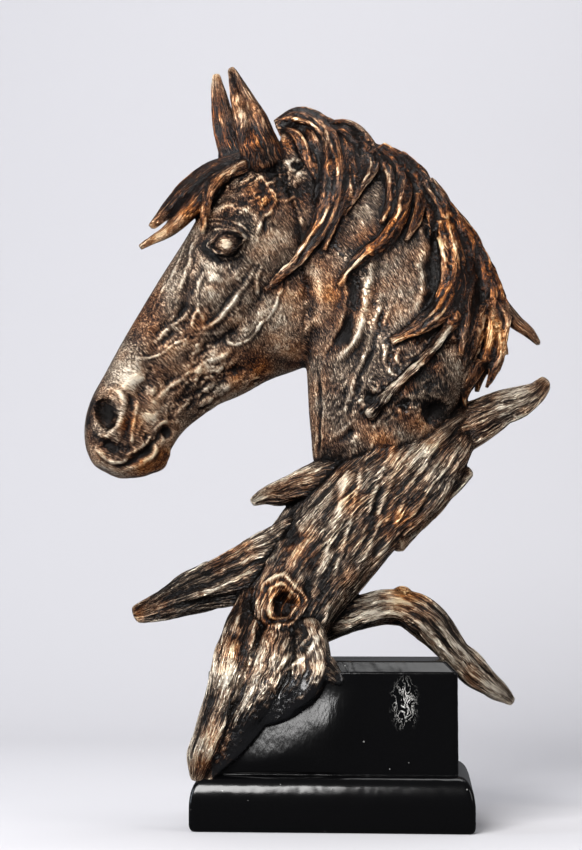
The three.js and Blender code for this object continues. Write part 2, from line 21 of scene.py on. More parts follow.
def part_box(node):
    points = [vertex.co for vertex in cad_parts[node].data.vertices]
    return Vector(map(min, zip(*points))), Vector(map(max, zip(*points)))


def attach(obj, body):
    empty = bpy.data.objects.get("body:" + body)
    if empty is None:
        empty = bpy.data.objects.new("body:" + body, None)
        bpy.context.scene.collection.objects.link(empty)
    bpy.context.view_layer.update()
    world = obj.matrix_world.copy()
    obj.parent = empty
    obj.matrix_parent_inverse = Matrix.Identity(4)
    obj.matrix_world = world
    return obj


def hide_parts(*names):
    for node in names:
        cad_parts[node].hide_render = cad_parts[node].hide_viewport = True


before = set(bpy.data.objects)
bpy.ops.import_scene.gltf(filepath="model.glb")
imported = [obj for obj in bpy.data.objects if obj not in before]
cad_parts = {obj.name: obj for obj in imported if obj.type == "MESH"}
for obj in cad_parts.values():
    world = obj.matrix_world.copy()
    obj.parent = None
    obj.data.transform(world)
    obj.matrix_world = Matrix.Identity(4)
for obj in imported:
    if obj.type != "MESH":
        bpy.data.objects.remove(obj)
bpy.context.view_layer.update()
MM = 0.001

# %% [markdown]
# ## The camera
#
# The photograph was taken from a little below the middle of the statue, about a metre away, looking
# slightly up and to the left. A long lens keeps the perspective gentle. The same numbers are kept as named
# values because the carving step aims rays through this camera, to put each line of relief where the eye
# sees it.

# %% Camera
IMAGE_WIDTH, IMAGE_HEIGHT = 582, 850
FOCAL_PIXELS = 1800
STATUE_DISTANCE = 1000
CAMERA_PLACE = Vector((50, -STATUE_DISTANCE, 119)) * MM
CAMERA_TURN = math.radians(4.29)
CAMERA_TILT = math.radians(5.62)
SENSOR = 36

camera_data = bpy.data.cameras.new("camera")
camera_data.sensor_width = SENSOR
camera_data.lens = FOCAL_PIXELS / IMAGE_HEIGHT * SENSOR
camera = bpy.data.objects.new("camera", camera_data)
camera.location = CAMERA_PLACE
camera.rotation_euler = (math.pi / 2 + CAMERA_TILT, 0, CAMERA_TURN)
bpy.context.scene.collection.objects.link(camera)
bpy.context.scene.camera = camera
VIEW = camera.rotation_euler.to_matrix()


def ray_through(pixel):
    """The direction from the camera through a pixel of the photograph."""
    across = pixel[0] - IMAGE_WIDTH / 2
    up = IMAGE_HEIGHT / 2 - pixel[1]
    return (VIEW @ Vector((across, up, -FOCAL_PIXELS))).normalized()


print("lens:", round(camera_data.lens, 1), "mm")

# %% [markdown]
# ## The stage
#
# A pale sheet runs from under the plinth to the back and curves up into a wall, as in a photographer's
# sweep, so no horizon shows. It isn't mirrored in the statue, because a pale floor would turn the black
# plinth grey. Large area lights give the soft, wide highlights that metal wax and lacquer need.

# %% Floor and lights
PAPER, ROOM = (0.6, 0.595, 0.62, 1), (0.86, 0.87, 0.92, 1)
SWEEP_FRONT, SWEEP_BACK, SWEEP_RISE, SWEEP_WALL, SWEEP_HALF_WIDTH = -0.85, 0.55, 0.7, 3.0, 4.0


def sweep():
    """The pale floor that curves up into a wall."""
    steps = 16
    line = [(SWEEP_FRONT, 0.0)]
    for i in range(steps + 1):
        angle = math.pi / 2 * i / steps
        line.append((SWEEP_BACK + SWEEP_RISE * math.sin(angle), SWEEP_RISE * (1 - math.cos(angle))))
    line.append((SWEEP_BACK + SWEEP_RISE, SWEEP_WALL))
    points = [(x, y, z) for y, z in line for x in (-SWEEP_HALF_WIDTH, SWEEP_HALF_WIDTH)]
    faces = [(2 * i, 2 * i + 1, 2 * i + 3, 2 * i + 2) for i in range(len(line) - 1)]
    mesh = bpy.data.meshes.new("sweep")
    mesh.from_pydata(points, [], faces)
    mesh.polygons.foreach_set("use_smooth", [True] * len(faces))
    paper = bpy.data.materials.new("pale_paper")
    paper.use_nodes = True
    shader = paper.node_tree.nodes["Principled BSDF"]
    shader.inputs["Base Color"].default_value = PAPER
    shader.inputs["Roughness"].default_value = 0.9
    # The paper shows on its front only, so that the statue can be looked at from behind the sweep as well.
    nodes, links = paper.node_tree.nodes, paper.node_tree.links
    clear = nodes.new("ShaderNodeBsdfTransparent")
    either = nodes.new("ShaderNodeMixShader")
    links.new(nodes.new("ShaderNodeNewGeometry").outputs["Backfacing"], either.inputs["Fac"])
    links.new(shader.outputs["BSDF"], either.inputs[1])
    links.new(clear.outputs["BSDF"], either.inputs[2])
    links.new(either.outputs["Shader"], nodes["Material Output"].inputs["Surface"])
    mesh.materials.append(paper)
    floor = bpy.data.objects.new("sweep", mesh)
    floor.visible_glossy = False
    bpy.context.scene.collection.objects.link(floor)
    return floor


def area_light(name, place, aim, size, watts, colour):
    light = bpy.data.lights.new(name, "AREA")
    light.shape = "RECTANGLE"
    light.size, light.size_y = size
    light.energy = watts
    light.color = colour
    lamp = bpy.data.objects.new(name, light)
    lamp.location = place
    lamp.rotation_euler = (Vector(aim) - Vector(place)).to_track_quat("-Z", "Y").to_euler()
    bpy.context.scene.collection.objects.link(lamp)
    return lamp


sweep()
area_light("key", (-0.57, -1.35, 1.0), (0, 0, 0.22), (0.95, 0.6), 46, (1.0, 0.99, 0.98))
area_light("window", (-1.5, -0.35, 0.5), (0, 0, 0.15), (0.35, 0.9), 9, (0.8, 0.88, 1.0))
area_light("fill", (1.4, -0.8, 0.8), (0, 0, 0.25), (0.5, 0.9), 5, (1.0, 0.98, 0.96))
area_light("top", (0.1, 0.1, 1.7), (0, 0, 0.3), (0.8, 0.5), 7, (1.0, 1.0, 1.0))
area_light("wall", (0.3, 0.5, 1.8), (0.1, 1.25, 0.45), (1.8, 0.4), 6, (0.96, 0.97, 1.0))
# The room is dim, so that the darks of the statue stay dark, but it looks pale where no sweep hides it.
ROOM_LIGHT, ROOM_SEEN = 0.13, 0.8
world = bpy.data.worlds.new("studio")
world.use_nodes = True
room = world.node_tree
room.nodes["Background"].inputs["Color"].default_value = ROOM
seen = room.nodes.new("ShaderNodeLightPath").outputs["Is Camera Ray"]
strength = room.nodes.new("ShaderNodeMapRange")
strength.inputs["To Min"].default_value = ROOM_LIGHT
strength.inputs["To Max"].default_value = ROOM_SEEN
room.links.new(seen, strength.inputs["Value"])
room.links.new(strength.outputs["Result"], room.nodes["Background"].inputs["Strength"])
bpy.context.scene.world = world
bpy.context.scene.view_settings.view_transform = "Standard"

# %% [markdown]
# ## Curves and noise
#
# Everything organic here follows a smooth curve through a few chosen points. The centripetal Catmull-Rom
# spline is used because it passes through its points without loops, and because the solids were drawn with
# the same one.

# %% Smooth curves
def spline(points, shares):
    """Points of a centripetal Catmull-Rom curve at shares 0 to 1 of its row of points."""
    points = np.asarray(points, float)
    count = len(points)
    padded = np.vstack([2 * points[0] - points[1], points, 2 * points[-1] - points[-2]])
    place = np.clip(np.asarray(shares, float) * (count - 1), 0, count - 1)
    first = np.minimum(place.astype(int), count - 2)
    part = (place - first)[:, None]
    p0, p1, p2, p3 = (padded[first + k] for k in range(4))

    def gap(a, b):
        return np.maximum(np.sum((b - a) ** 2, axis=1, keepdims=True), 1e-12) ** 0.25

    d0, d1, d2 = gap(p0, p1), gap(p1, p2), gap(p2, p3)
    d1 = np.where(d1 < 1e-4, 1, d1)
    d0 = np.where(d0 < 1e-4, d1, d0)
    d2 = np.where(d2 < 1e-4, d1, d2)
    t1 = ((p1 - p0) / d0 - (p2 - p0) / (d0 + d1) + (p2 - p1) / d1) * d1
    t2 = ((p2 - p1) / d1 - (p3 - p1) / (d1 + d2) + (p3 - p2) / d2) * d1
    square, cube = part**2, part**3
    return p1 + t1 * part + (3 * (p2 - p1) - 2 * t1 - t2) * square + (2 * (p1 - p2) + t1 + t2) * cube


def unit(vectors):
    return vectors / np.maximum(np.linalg.norm(vectors, axis=-1, keepdims=True), 1e-9)


def length_along(points):
    """How far along its row each point lies."""
    return np.concatenate([[0], np.cumsum(np.linalg.norm(np.diff(points, axis=0), axis=1))])


print("half way along a bent line:", spline([(0, 0), (10, 0), (10, 10)], [0.5])[0])

# %% [markdown]
# Bark, hair and hammered skin all need a natural unevenness. Gradient noise is written out once in numpy,
# with a fixed seed, so that it moves real vertices and not only the shading.

# %% Gradient noise
dice = np.random.default_rng(11)
SHUFFLE = dice.permutation(256)
SLOPES = unit(dice.normal(size=(256, 3)))


def noise(at):
    """Smooth noise from about -1 to 1 at points given in cells."""
    at = np.asarray(at, float)
    cell = np.floor(at).astype(int)
    inner = at - cell
    ease = inner**3 * (inner * (inner * 6 - 15) + 10)
    total = np.zeros(at.shape[:-1])
    for corner in np.ndindex(2, 2, 2):
        x, y, z = ((cell + corner) & 255)[..., 0], (cell + corner)[..., 1], (cell + corner)[..., 2]
        pick = SHUFFLE[(SHUFFLE[(SHUFFLE[x] + y) & 255] + z) & 255]
        weight = np.prod(np.where(corner, ease, 1 - ease), axis=-1)
        total += weight * np.sum(SLOPES[pick] * (inner - corner), axis=-1)
    return total * 1.6


def grooves(at):
    """Rounded ridges with sharp valleys between them, from -1 to 1."""
    return 2 * np.minimum(np.abs(noise(at)) * 1.7, 1) ** 0.6 - 1


print("noise range:", noise(dice.uniform(0, 50, (2000, 3))).min().round(2), "and up")

# %% [markdown]
# ## Lofts
#
# A form keeps, beside its points and faces, a flow: coordinates in millimetres that run along the grain of
# the wood, the fall of the hair or the lie of the coat. The finish draws its fine lines in those
# coordinates, so strokes follow the surface as a carver's tool does.

# %% Forms
SKIN, HAIR, WOOD, SMOOTH = 0, 1, 2, 3
# How much the flow is stretched along a limb and round it, for hair.
HAIR_STROKE = (0.4, 1)


@dataclass
class Form:
    points: np.ndarray
    faces: list
    flow: np.ndarray
    kind: int


def closed_grid(grid, flow, kind):
    """Rings of points, the first and the last a single point, as a closed form."""
    rings, sides = grid.shape[:2]
    points = [grid[0, :1], grid[1:-1].reshape(-1, 3), grid[-1, :1]]
    flows = [flow[0, :1], flow[1:-1].reshape(-1, 3), flow[-1, :1]]
    last = 1 + (rings - 2) * sides
    k = np.arange(sides)
    after = (k + 1) % sides
    start = np.stack([np.zeros(sides, int), 1 + after, 1 + k], axis=1)
    end = np.stack([last - sides + k, last - sides + after, np.full(sides, last)], axis=1)
    rows = 1 + sides * np.arange(rings - 3)[:, None]
    quads = np.stack([rows + k, rows + after, rows + sides + after, rows + sides + k], axis=-1).reshape(-1, 4)
    return Form(np.vstack(points), start.tolist() + quads.tolist() + end.tolist(), np.vstack(flows), kind)


CAP_STEPS = np.array([1.0, 0.9, 0.7, 0.4])


def limb(points, kind, sides=40, step=1.0, relief=None, stroke=(1.0, 1.0)):
    """A limb along a smooth curve through [x, y, z, radius in the upright plane, radius in depth]."""
    points = np.asarray(points, float)
    reach = length_along(points[:, :3])[-1]
    shares = np.linspace(0, 1, max(8, int(reach / step)))
    centre = spline(points[:, :3], shares)
    radii = np.maximum(spline(points[:, 3:], shares), 0.3)
    tangent = unit(np.gradient(centre, axis=0))
    front = [centre[0] - tangent[0] * radii[0, 0] * 0.5 * s for s in CAP_STEPS]
    back = [centre[-1] + tangent[-1] * radii[-1, 0] * 0.5 * s for s in CAP_STEPS[::-1]]
    shrink = np.sqrt(1 - CAP_STEPS**2)
    centre = np.vstack([front, centre, back])
    radii = np.vstack([radii[0] * shrink[:, None], radii, radii[-1] * shrink[::-1, None]])
    tangent = np.vstack([np.repeat(tangent[:1], 4, 0), tangent, np.repeat(tangent[-1:], 4, 0)])
    shares = np.concatenate([np.zeros(4), shares, np.ones(4)])
    upright = np.array([0, 1, 0])
    depth = unit(upright - tangent * (tangent @ upright)[:, None])
    across = np.cross(depth, tangent)
    turn = 2 * np.pi * np.arange(sides) / sides
    along = length_along(centre)
    girth = float(radii.mean())
    flow = np.empty((len(centre), sides, 3))
    flow[..., 0] = along[:, None] * stroke[0]
    flow[..., 1] = girth * np.cos(turn) * stroke[1]
    flow[..., 2] = girth * np.sin(turn) * stroke[1]
    lift = relief(turn[None], shares[:, None], flow, radii) if relief else np.zeros((len(centre), sides))
    rx = (radii[:, :1] + lift) * np.cos(turn)
    ry = (radii[:, 1:] + lift) * np.sin(turn)
    grid = centre[:, None] + across[:, None] * rx[..., None] + depth[:, None] * ry[..., None]
    grid[0], grid[-1] = centre[0], centre[-1]
    return closed_grid(grid, flow, kind)


def body(sections, sides=150, rings=190, hair_along=False):
    """A body whose sections run from a profile line to a jaw line, with a half width beside each."""
    shares = np.linspace(0, 1, rings)
    top = spline([s["profile"] for s in sections], shares)
    low = spline([s["jaw"] for s in sections], shares)
    widths = spline([s["widths"] for s in sections], shares)
    power = 2 / spline([[s["square"], 0] for s in sections], shares)[:, :1]
    turn = 2 * np.pi * np.arange(sides) / sides

    def rounded(value):
        return np.sign(value) * np.abs(value) ** power

    up = rounded(np.sin(turn)[None])
    share = (up + 1) / 2
    side = rounded(np.cos(turn)[None]) * (widths[:, 1:] + (widths[:, :1] - widths[:, 1:]) * share)
    flat = low[:, None] + (top - low)[:, None] * share[..., None]
    grid = np.stack([flat[..., 0], side, flat[..., 1]], axis=-1)
    middle = (top + low) / 2
    poles = [np.array([[m[0], 0, m[1]]] * sides) for m in (middle[0], middle[-1])]
    grid = np.concatenate([poles[:1], grid, poles[1:]])
    along = np.concatenate([[0], length_along(middle), [0]])
    along[-1] = along[-2]
    chord = np.linalg.norm(top - low, axis=1)
    chord = np.concatenate([chord[:1], chord, chord[-1:]])
    up = np.concatenate([up[:1] * 0, up, up[-1:] * 0])
    down = up * chord[:, None] / 2
    run = np.repeat(along[:, None], sides, axis=1)
    flow = np.stack([run, down, grid[..., 1]] if hair_along else [down, run, grid[..., 1]], axis=-1)
    return closed_grid(grid, flow, SKIN)


def ellipsoid(centre, radii, kind, lean=0, sides=48, rings=32):
    """An egg about a centre, leant about the axis across the statue."""
    height = np.linspace(-np.pi / 2, np.pi / 2, rings)[:, None]
    turn = 2 * np.pi * np.arange(sides)[None] / sides
    level = np.cos(height)
    ball = np.stack([level * np.cos(turn), level * np.sin(turn), np.sin(height) + 0 * turn], axis=-1) * radii
    angle = math.radians(lean)
    turned = ball.copy()
    turned[..., 0] = ball[..., 0] * math.cos(angle) + ball[..., 2] * math.sin(angle)
    turned[..., 2] = ball[..., 2] * math.cos(angle) - ball[..., 0] * math.sin(angle)
    grid = turned + np.asarray(centre, float)
    return closed_grid(grid, grid.copy(), kind)


print("an egg has", len(ellipsoid((0, 0, 0), (1, 1, 2), SMOOTH).points), "points")

# %% [markdown]
# ## From forms to one skin
#
# Forms may cross each other freely. A voxel remesh keeps only what is outside and gives evenly spaced
# points, which is what carving needs. It is the digital version of filling a mould.

# %% Meshes from forms
def mesh_object(name, points, faces):
    """A mesh object in metres from points in millimetres."""
    mesh = bpy.data.meshes.new(name)
    mesh.from_pydata((np.asarray(points) * MM).tolist(), [], faces)
    made = bpy.data.objects.new(name, mesh)
    bpy.context.scene.collection.objects.link(made)
    return made


def plain_copy(made, name):
    """The object with its modifiers' result as a plain mesh; the first one is removed."""
    result = bpy.data.meshes.new_from_object(made.evaluated_get(bpy.context.evaluated_depsgraph_get()))
    result.name = name
    old = made.data
    bpy.data.objects.remove(made)
    if isinstance(old, bpy.types.Mesh) and old.users == 0:
        bpy.data.meshes.remove(old)
    plain = bpy.data.objects.new(name, result)
    bpy.context.scene.collection.objects.link(plain)
    return plain


def melted(name, forms, voxel):
    """One skin round all the forms."""
    offset = 0
    faces = []
    for form in forms:
        faces += [[offset + corner for corner in face] for face in form.faces]
        offset += len(form.points)
    rough = mesh_object(name, np.vstack([form.points for form in forms]), faces)
    remesh = rough.modifiers.new("melt", "REMESH")
    remesh.mode = "VOXEL"
    remesh.voxel_size = voxel * MM
    return plain_copy(rough, name)


def points_of(mesh):
    flat = np.empty(len(mesh.vertices) * 3, np.float32)
    mesh.vertices.foreach_get("co", flat)
    return flat.reshape(-1, 3).astype(float) / MM


def normals_of(mesh):
    flat = np.empty(len(mesh.vertices) * 3, np.float32)
    mesh.vertex_normals.foreach_get("vector", flat)
    return flat.reshape(-1, 3).astype(float)


def set_points(mesh, points):
    mesh.vertices.foreach_set("co", (points * MM).astype(np.float32).ravel())
    mesh.update()


def edges_of(mesh):
    flat = np.empty(len(mesh.edges) * 2, np.int32)
    mesh.edges.foreach_get("vertices", flat)
    return flat.reshape(-1, 2)


def smoothed(values, edges, times, share=0.5):
    """Values at the points of a mesh after each has moved towards its neighbours' mean, a number of times."""
    values = np.array(values, float)
    flat = values.reshape(len(values), -1)
    count = np.bincount(edges.ravel(), minlength=len(values)).astype(float)
    for _ in range(times):
        mean = np.empty_like(flat)
        for column in range(flat.shape[1]):
            total = np.bincount(edges[:, 0], flat[edges[:, 1], column], len(flat))
            total += np.bincount(edges[:, 1], flat[edges[:, 0], column], len(flat))
            mean[:, column] = total / count
        flat += (mean - flat) * share
    return flat.reshape(values.shape)


print("ready to build")

# %% [markdown]
# ## The head
#
# The head is drawn in its own upright plane, as forward and height, and then turned a little towards the
# near side about the poll. Its sections run from the nose line to the jaw line. Sizes and places repeat
# those of the solids.

# %% Head and neck sections
HEAD_TURN = math.radians(15)
POLL = np.array([-40.5, 0, 0])
HEAD = [
    dict(profile=(-16, 370), jaw=(-47, 313), widths=(18, 17), square=2.2),
    dict(profile=(1, 374), jaw=(-47, 279), widths=(23, 21), square=2.2),
    dict(profile=(17, 366), jaw=(-36, 258), widths=(27, 22), square=2.3),
    dict(profile=(31, 347), jaw=(-21, 250), widths=(29, 22), square=2.4),
    dict(profile=(44, 323), jaw=(-3, 243), widths=(26, 19), square=2.5),
    dict(profile=(57.5, 301), jaw=(13, 234), widths=(20.5, 15), square=2.6),
    dict(profile=(69.5, 280.5), jaw=(25.5, 228.5), widths=(16.5, 12.5), square=2.6),
    dict(profile=(80.5, 261), jaw=(36, 221), widths=(14.5, 11.5), square=2.7),
    dict(profile=(89, 244.5), jaw=(45, 213.5), widths=(15.5, 12.5), square=3),
    dict(profile=(96, 231), jaw=(51, 205), widths=(18, 14), square=3.3),
    dict(profile=(99.5, 218), jaw=(56, 195.5), widths=(18, 14.5), square=3.3),
    dict(profile=(99, 204), jaw=(65, 188.5), widths=(15.5, 13.5), square=3),
    dict(profile=(95, 194), jaw=(80, 186.5), widths=(9, 9), square=2.4),
]
NECK = [
    dict(profile=(-30, 386), jaw=(-35, 335), widths=(15, 17), square=2.25),
    dict(profile=(-7, 383), jaw=(-21, 294), widths=(17, 21), square=2.25),
    dict(profile=(15, 371), jaw=(-18, 266), widths=(19, 24), square=2.25),
    dict(profile=(38, 355), jaw=(-16, 246), widths=(21, 26), square=2.25),
    dict(profile=(57, 334), jaw=(-15, 226), widths=(23, 27), square=2.25),
    dict(profile=(73, 308), jaw=(-13.5, 209), widths=(25, 28), square=2.25),
    dict(profile=(82, 279), jaw=(-11.5, 195), widths=(27, 28), square=2.25),
    dict(profile=(80, 252), jaw=(2.5, 184), widths=(26, 27), square=2.25),
    dict(profile=(67, 224), jaw=(24, 181), widths=(20, 22), square=2.25),
]
CHEEK = dict(forward=-17, side=14, height=283, radii=(31, 11, 31))
CHIN = dict(forward=66, height=200.5, radii=(13.5, 12.5, 10), lean=25)

TURN = np.array(Matrix.Rotation(HEAD_TURN, 3, "Z"))


def to_head(points):
    """Points [-forward, side, height] of the head's own plane, turned and put in their place."""
    return np.asarray(points, float) @ TURN.T + POLL


def from_head(points):
    return (np.asarray(points, float) - POLL) @ TURN


def in_head(form):
    form.points = to_head(form.points)
    return form


def head_points(rows, mirror=1):
    return [[-forward, mirror * side, height, *radii] for forward, side, height, *radii in rows]


print("sections:", len(HEAD), "of the head and", len(NECK), "of the neck")

# %% Flesh
def forward_is_minus_x(section):
    turned = dict(section)
    turned["profile"] = (-section["profile"][0], section["profile"][1])
    turned["jaw"] = (-section["jaw"][0], section["jaw"][1])
    return turned


def flesh_forms():
    head = in_head(body([forward_is_minus_x(s) for s in HEAD]))
    forms = [head, body(NECK, sides=200, rings=240, hair_along=True)]
    chin = ellipsoid((-CHIN["forward"], 0, CHIN["height"]), CHIN["radii"], SKIN, lean=CHIN["lean"])
    forms.append(in_head(chin))
    for side in (-1, 1):
        place = (-CHEEK["forward"], side * CHEEK["side"], CHEEK["height"])
        forms.append(in_head(ellipsoid(place, CHEEK["radii"], SKIN)))
    return forms


FLESH_VOXEL, FLESH_PASSES = 1.1, 14
flesh_sources = flesh_forms()
flesh = melted("flesh", flesh_sources, FLESH_VOXEL)
flesh_edges = edges_of(flesh.data)
set_points(flesh.data, smoothed(points_of(flesh.data), flesh_edges, FLESH_PASSES))
print("flesh:", len(flesh.data.vertices), "points")

# %% [markdown]
# Eye sockets and nostrils are pressed into the flesh: a point inside an egg-shaped cutter moves straight
# in, towards the middle plane of the head, until it lies on the far side of the cutter. A press can't leave
# loose crumbs, which a boolean cut on a surface this busy sometimes does.

# %% Press the sockets and nostrils
EYE = dict(forward=25.5, side=26, height=315, radius=7.2)
SOCKET = dict(forward=EYE["forward"] + 1, lean=-20, depth=8.5, edge=EYE["side"] + 4.5)
NOSTRIL = dict(forward=90, height=222, length=21, width=12.5, depth=8, lean=20)


def press(points, forward, height, radii, lean, side, depth, edge):
    """Moves head points inside an upright oval inwards; edge is how far out the oval lies."""
    angle = math.radians(lean)
    away = np.stack([-points[:, 0] - forward, points[:, 2] - height], axis=1)
    back = away[:, 0] * math.cos(angle) - away[:, 1] * math.sin(angle)
    up = away[:, 0] * math.sin(angle) + away[:, 1] * math.cos(angle)
    inside = np.sqrt(np.clip(1 - (back / radii[0]) ** 2 - (up / radii[1]) ** 2, 0, 1))
    floor = edge - depth * inside
    deeper = (inside > 0) & (side * points[:, 1] > floor) & (side * points[:, 1] > 4)
    points[deeper, 1] = side * floor[deeper]


def flesh_side(forward, height, side):
    """How far from the head's middle plane the flesh lies, at a place given as forward and height."""
    start = Vector(to_head([-forward, side * 200, height])) * MM
    aim = Vector(TURN @ np.array([0, -side, 0]))
    hit, place, _, _ = flesh.ray_cast(start, aim)
    return side * from_head(np.array(place) / MM)[1] if hit else 0


def press_features():
    moved = from_head(points_of(flesh.data))
    for side in (-1, 1):
        edge = flesh_side(NOSTRIL["forward"], NOSTRIL["height"], side) + 1.0
        oval = (NOSTRIL["width"] / 2, NOSTRIL["length"] / 2)
        place = (NOSTRIL["forward"], NOSTRIL["height"])
        press(moved, *place, oval, NOSTRIL["lean"], side, NOSTRIL["depth"], edge)
        oval = (EYE["radius"] * 1.5, EYE["radius"])
        place = (SOCKET["forward"], EYE["height"])
        press(moved, *place, oval, SOCKET["lean"], side, SOCKET["depth"], SOCKET["edge"])
    set_points(flesh.data, smoothed(to_head(moved), flesh_edges, 2))


press_features()
nostril_edge = flesh_side(NOSTRIL["forward"] - 9, NOSTRIL["height"], -1)
print("nostril edge:", round(nostril_edge, 1), "mm from the middle")

# %% [markdown]
# ## Eyes and ears
#
# An eye is a ball with a lid above and below. An ear is a limb whose section is pinched in on one side,
# like a rolled leaf, so it has a real hollow with two thin rims.

# %% Eyes
LIDS = ((0.9, 1.3), (-0.82, 0.9))


def eye_forms(side):
    ball = ellipsoid((-EYE["forward"], side * EYE["side"], EYE["height"]), (EYE["radius"],) * 3, SMOOTH)
    forms = [in_head(ball)]
    for lift, girth in LIDS:
        rows = []
        for share in np.linspace(0, 1, 9):
            bow = math.sin(math.pi * share)
            forward = EYE["forward"] + EYE["radius"] * 1.5 * (1 - 2 * share)
            height = EYE["height"] + lift * EYE["radius"] * bow - 3 * (1 - 2 * share)
            rows.append([forward, EYE["side"] + 1.5 + 2.8 * bow, height, girth, girth])
        forms.append(in_head(limb(head_points(rows, side), SMOOTH, sides=20, step=0.7)))
    return forms


eyes = eye_forms(-1) + eye_forms(1)
print("eye forms:", len(eyes))

# %% Ears
NEAR_EAR = [
    [1, -12, 364, 13, 9], [6, -14, 376, 11, 8], [10, -15, 387, 9.5, 7], [14.5, -15.5, 398, 7, 5.5],
    [18.5, -16, 408, 4.3, 3.8], [21.5, -16, 416, 2.2, 2.2],
]
FAR_EAR = [
    [11, 10, 364, 11, 9], [16.5, 12, 376, 8.5, 8], [20, 13, 387, 7.5, 7], [22.5, 14, 399, 6.3, 5.5],
    [24.5, 14, 411, 4.6, 4], [25.5, 14, 421, 2.2, 2.2],
]
EAR_HOLLOW = dict(start=0.2, width=0.95, depth=0.85, rim=0.12)


def ear_form(rows):
    outward = math.copysign(1, rows[0][1])
    hollow_turn = math.atan2(outward * 4.5, -4)

    def leaf(turn, share, flow, radii):
        away = np.abs((turn - hollow_turn + np.pi) % (2 * np.pi) - np.pi)
        opening = np.clip((share - EAR_HOLLOW["start"]) / 0.25, 0, 1) * np.clip((1.02 - share) / 0.12, 0, 1)
        pinch = -EAR_HOLLOW["depth"] * np.exp(-((away / EAR_HOLLOW["width"]) ** 4))
        rim = EAR_HOLLOW["rim"] * np.exp(-(((away - 1.15) / 0.3) ** 2))
        return radii[:, :1] * opening * (pinch + rim) + 0.25 * grooves(flow * (0.05, 0.4, 0.4))

    return in_head(limb(head_points(rows), HAIR, sides=80, step=0.6, relief=leaf, stroke=HAIR_STROKE))


ears = [ear_form(NEAR_EAR), ear_form(FAR_EAR)]
print("ear points:", sum(len(ear.points) for ear in ears))

# %% [markdown]
# ## Mane and forelock
#
# A cast mane is made of locks, and each lock is a bundle of strands that part in the middle and meet at the
# tip. The locks are drawn as guide lines. Geometry Nodes then make the strands, because every
# strand follows the same rule: take the guide, step aside by a share of the lock's width, and sweep a round
# section along it.

# %% Guide lines of the locks
LOCKS = [
    dict(width=14, far=True, path=[
        (-33, 387), (-19, 392), (-5, 382), (0, 366), (0, 346), (-7, 324), (-22, 305), (-38, 290),
    ]),
    dict(width=11, path=[(-13, 389), (1, 377), (5.5, 360), (3.5, 338), (-4.5, 312)]),
    dict(width=7, path=[(-28, 385), (-19, 376), (-13, 363), (-9, 351)]),
    dict(width=12, far=True, path=[(-4, 387), (8, 384), (17.5, 371), (19.5, 358.5), (14, 346), (5.5, 332)]),
    dict(width=9, path=[(-5, 383), (5, 375), (10.5, 359), (10, 346), (5, 334)]),
    dict(width=9, path=[(18, 376), (25.5, 368), (30.5, 353.5), (32, 340.5), (26.5, 327)]),
    dict(width=12, far=True, path=[
        (25, 374), (34, 365), (38, 348), (36.5, 331), (28, 317), (16, 308), (3, 292),
    ]),
    dict(width=9, path=[(36, 370), (44, 360), (47, 345), (45, 329), (40, 317)]),
    dict(width=10, far=True, path=[(42, 363), (50, 352), (53, 336), (53.5, 319)]),
    dict(width=17, far=True, path=[
        (51, 354), (58, 340), (61, 321), (63.5, 305), (63.5, 291), (57, 277), (46, 267), (32, 260),
    ]),
    dict(width=11, path=[(60, 344), (67.5, 332), (71.5, 316), (73, 299), (69.5, 282), (62, 267), (50, 254)]),
    dict(width=11, far=True, path=[(69, 332), (76.5, 317), (76.5, 300), (73, 285), (72, 269), (69, 253)]),
    dict(width=10, path=[(76, 320), (83.5, 305), (82, 287), (79, 272), (76, 256)]),
    dict(width=12, far=True, path=[
        (82, 307), (88.5, 292), (87, 274), (83, 258), (76, 245), (71, 235), (73, 219),
    ]),
    dict(width=11, path=[(87, 292), (92.5, 279), (92, 263), (89, 250), (83.5, 237)]),
]
FORELOCK = [
    [
        [8, 2, 370, 7, 12], [28, 0, 361, 8, 12], [42, 0, 350, 7.5, 10], [52, -1, 340, 6, 7],
        [64, -2, 328, 2.6, 3],
    ],
    [
        [10, -8, 364, 7, 11], [31, -7, 349.5, 8.5, 10], [43, -7, 337, 7, 9], [54, -8, 325.5, 4.8, 6],
        [70.5, -9, 314.5, 2, 2.4],
    ],
    [[14, -14, 362, 4.5, 6], [30, -17, 350, 4, 5], [36, -19, 336, 3.2, 3.5], [38, -20, 322, 1.4, 1.5]],
    [[10, 9, 366, 6, 9], [32, 10, 354, 7, 8], [45, 10, 340, 5.5, 6], [56, 10, 326, 2.2, 2.4]],
]
WISPS = [
    [
        [85, 0, 293, 5.5, 7], [94, -1, 281, 5, 6], [101, -1, 274, 4, 4.5], [108, -2, 268, 3, 3],
        [113, -2, 262, 1.5, 1.5],
    ],
    [[85, -3, 285, 5, 6], [91, -4, 268, 3.5, 4], [95, -4, 256, 1.4, 1.4]],
]
LOCK_LIFT = 1.4
FILL_SINK = 1.5
CREST_WIDTH = 3
# Thin hair that fills the mane between two neighbouring locks, down to a share of their length.
FILLS = [
    (0, 2, 0.75), (0, 3, 0.55), (3, 5, 0.6), (4, 5, 0.45), (5, 6, 0.5), (6, 7, 0.55), (7, 8, 0.7),
    (8, 9, 0.4), (9, 10, 0.95), (10, 11, 0.95), (11, 12, 0.95), (12, 13, 0.9), (13, 14, 0.9),
    (10, 12, 0.95), (11, 13, 0.9), (12, 14, 0.9),
]


def between(first, second, until):
    """A thin lock half way between two others."""
    shares = np.linspace(0, until, 7)
    paths = [spline([(x, 0, z) for x, z in lock["path"]], shares) for lock in (first, second)]
    middle = (paths[0] + paths[1]) / 2
    return dict(width=9, path=[(x, z) for x, _, z in middle])


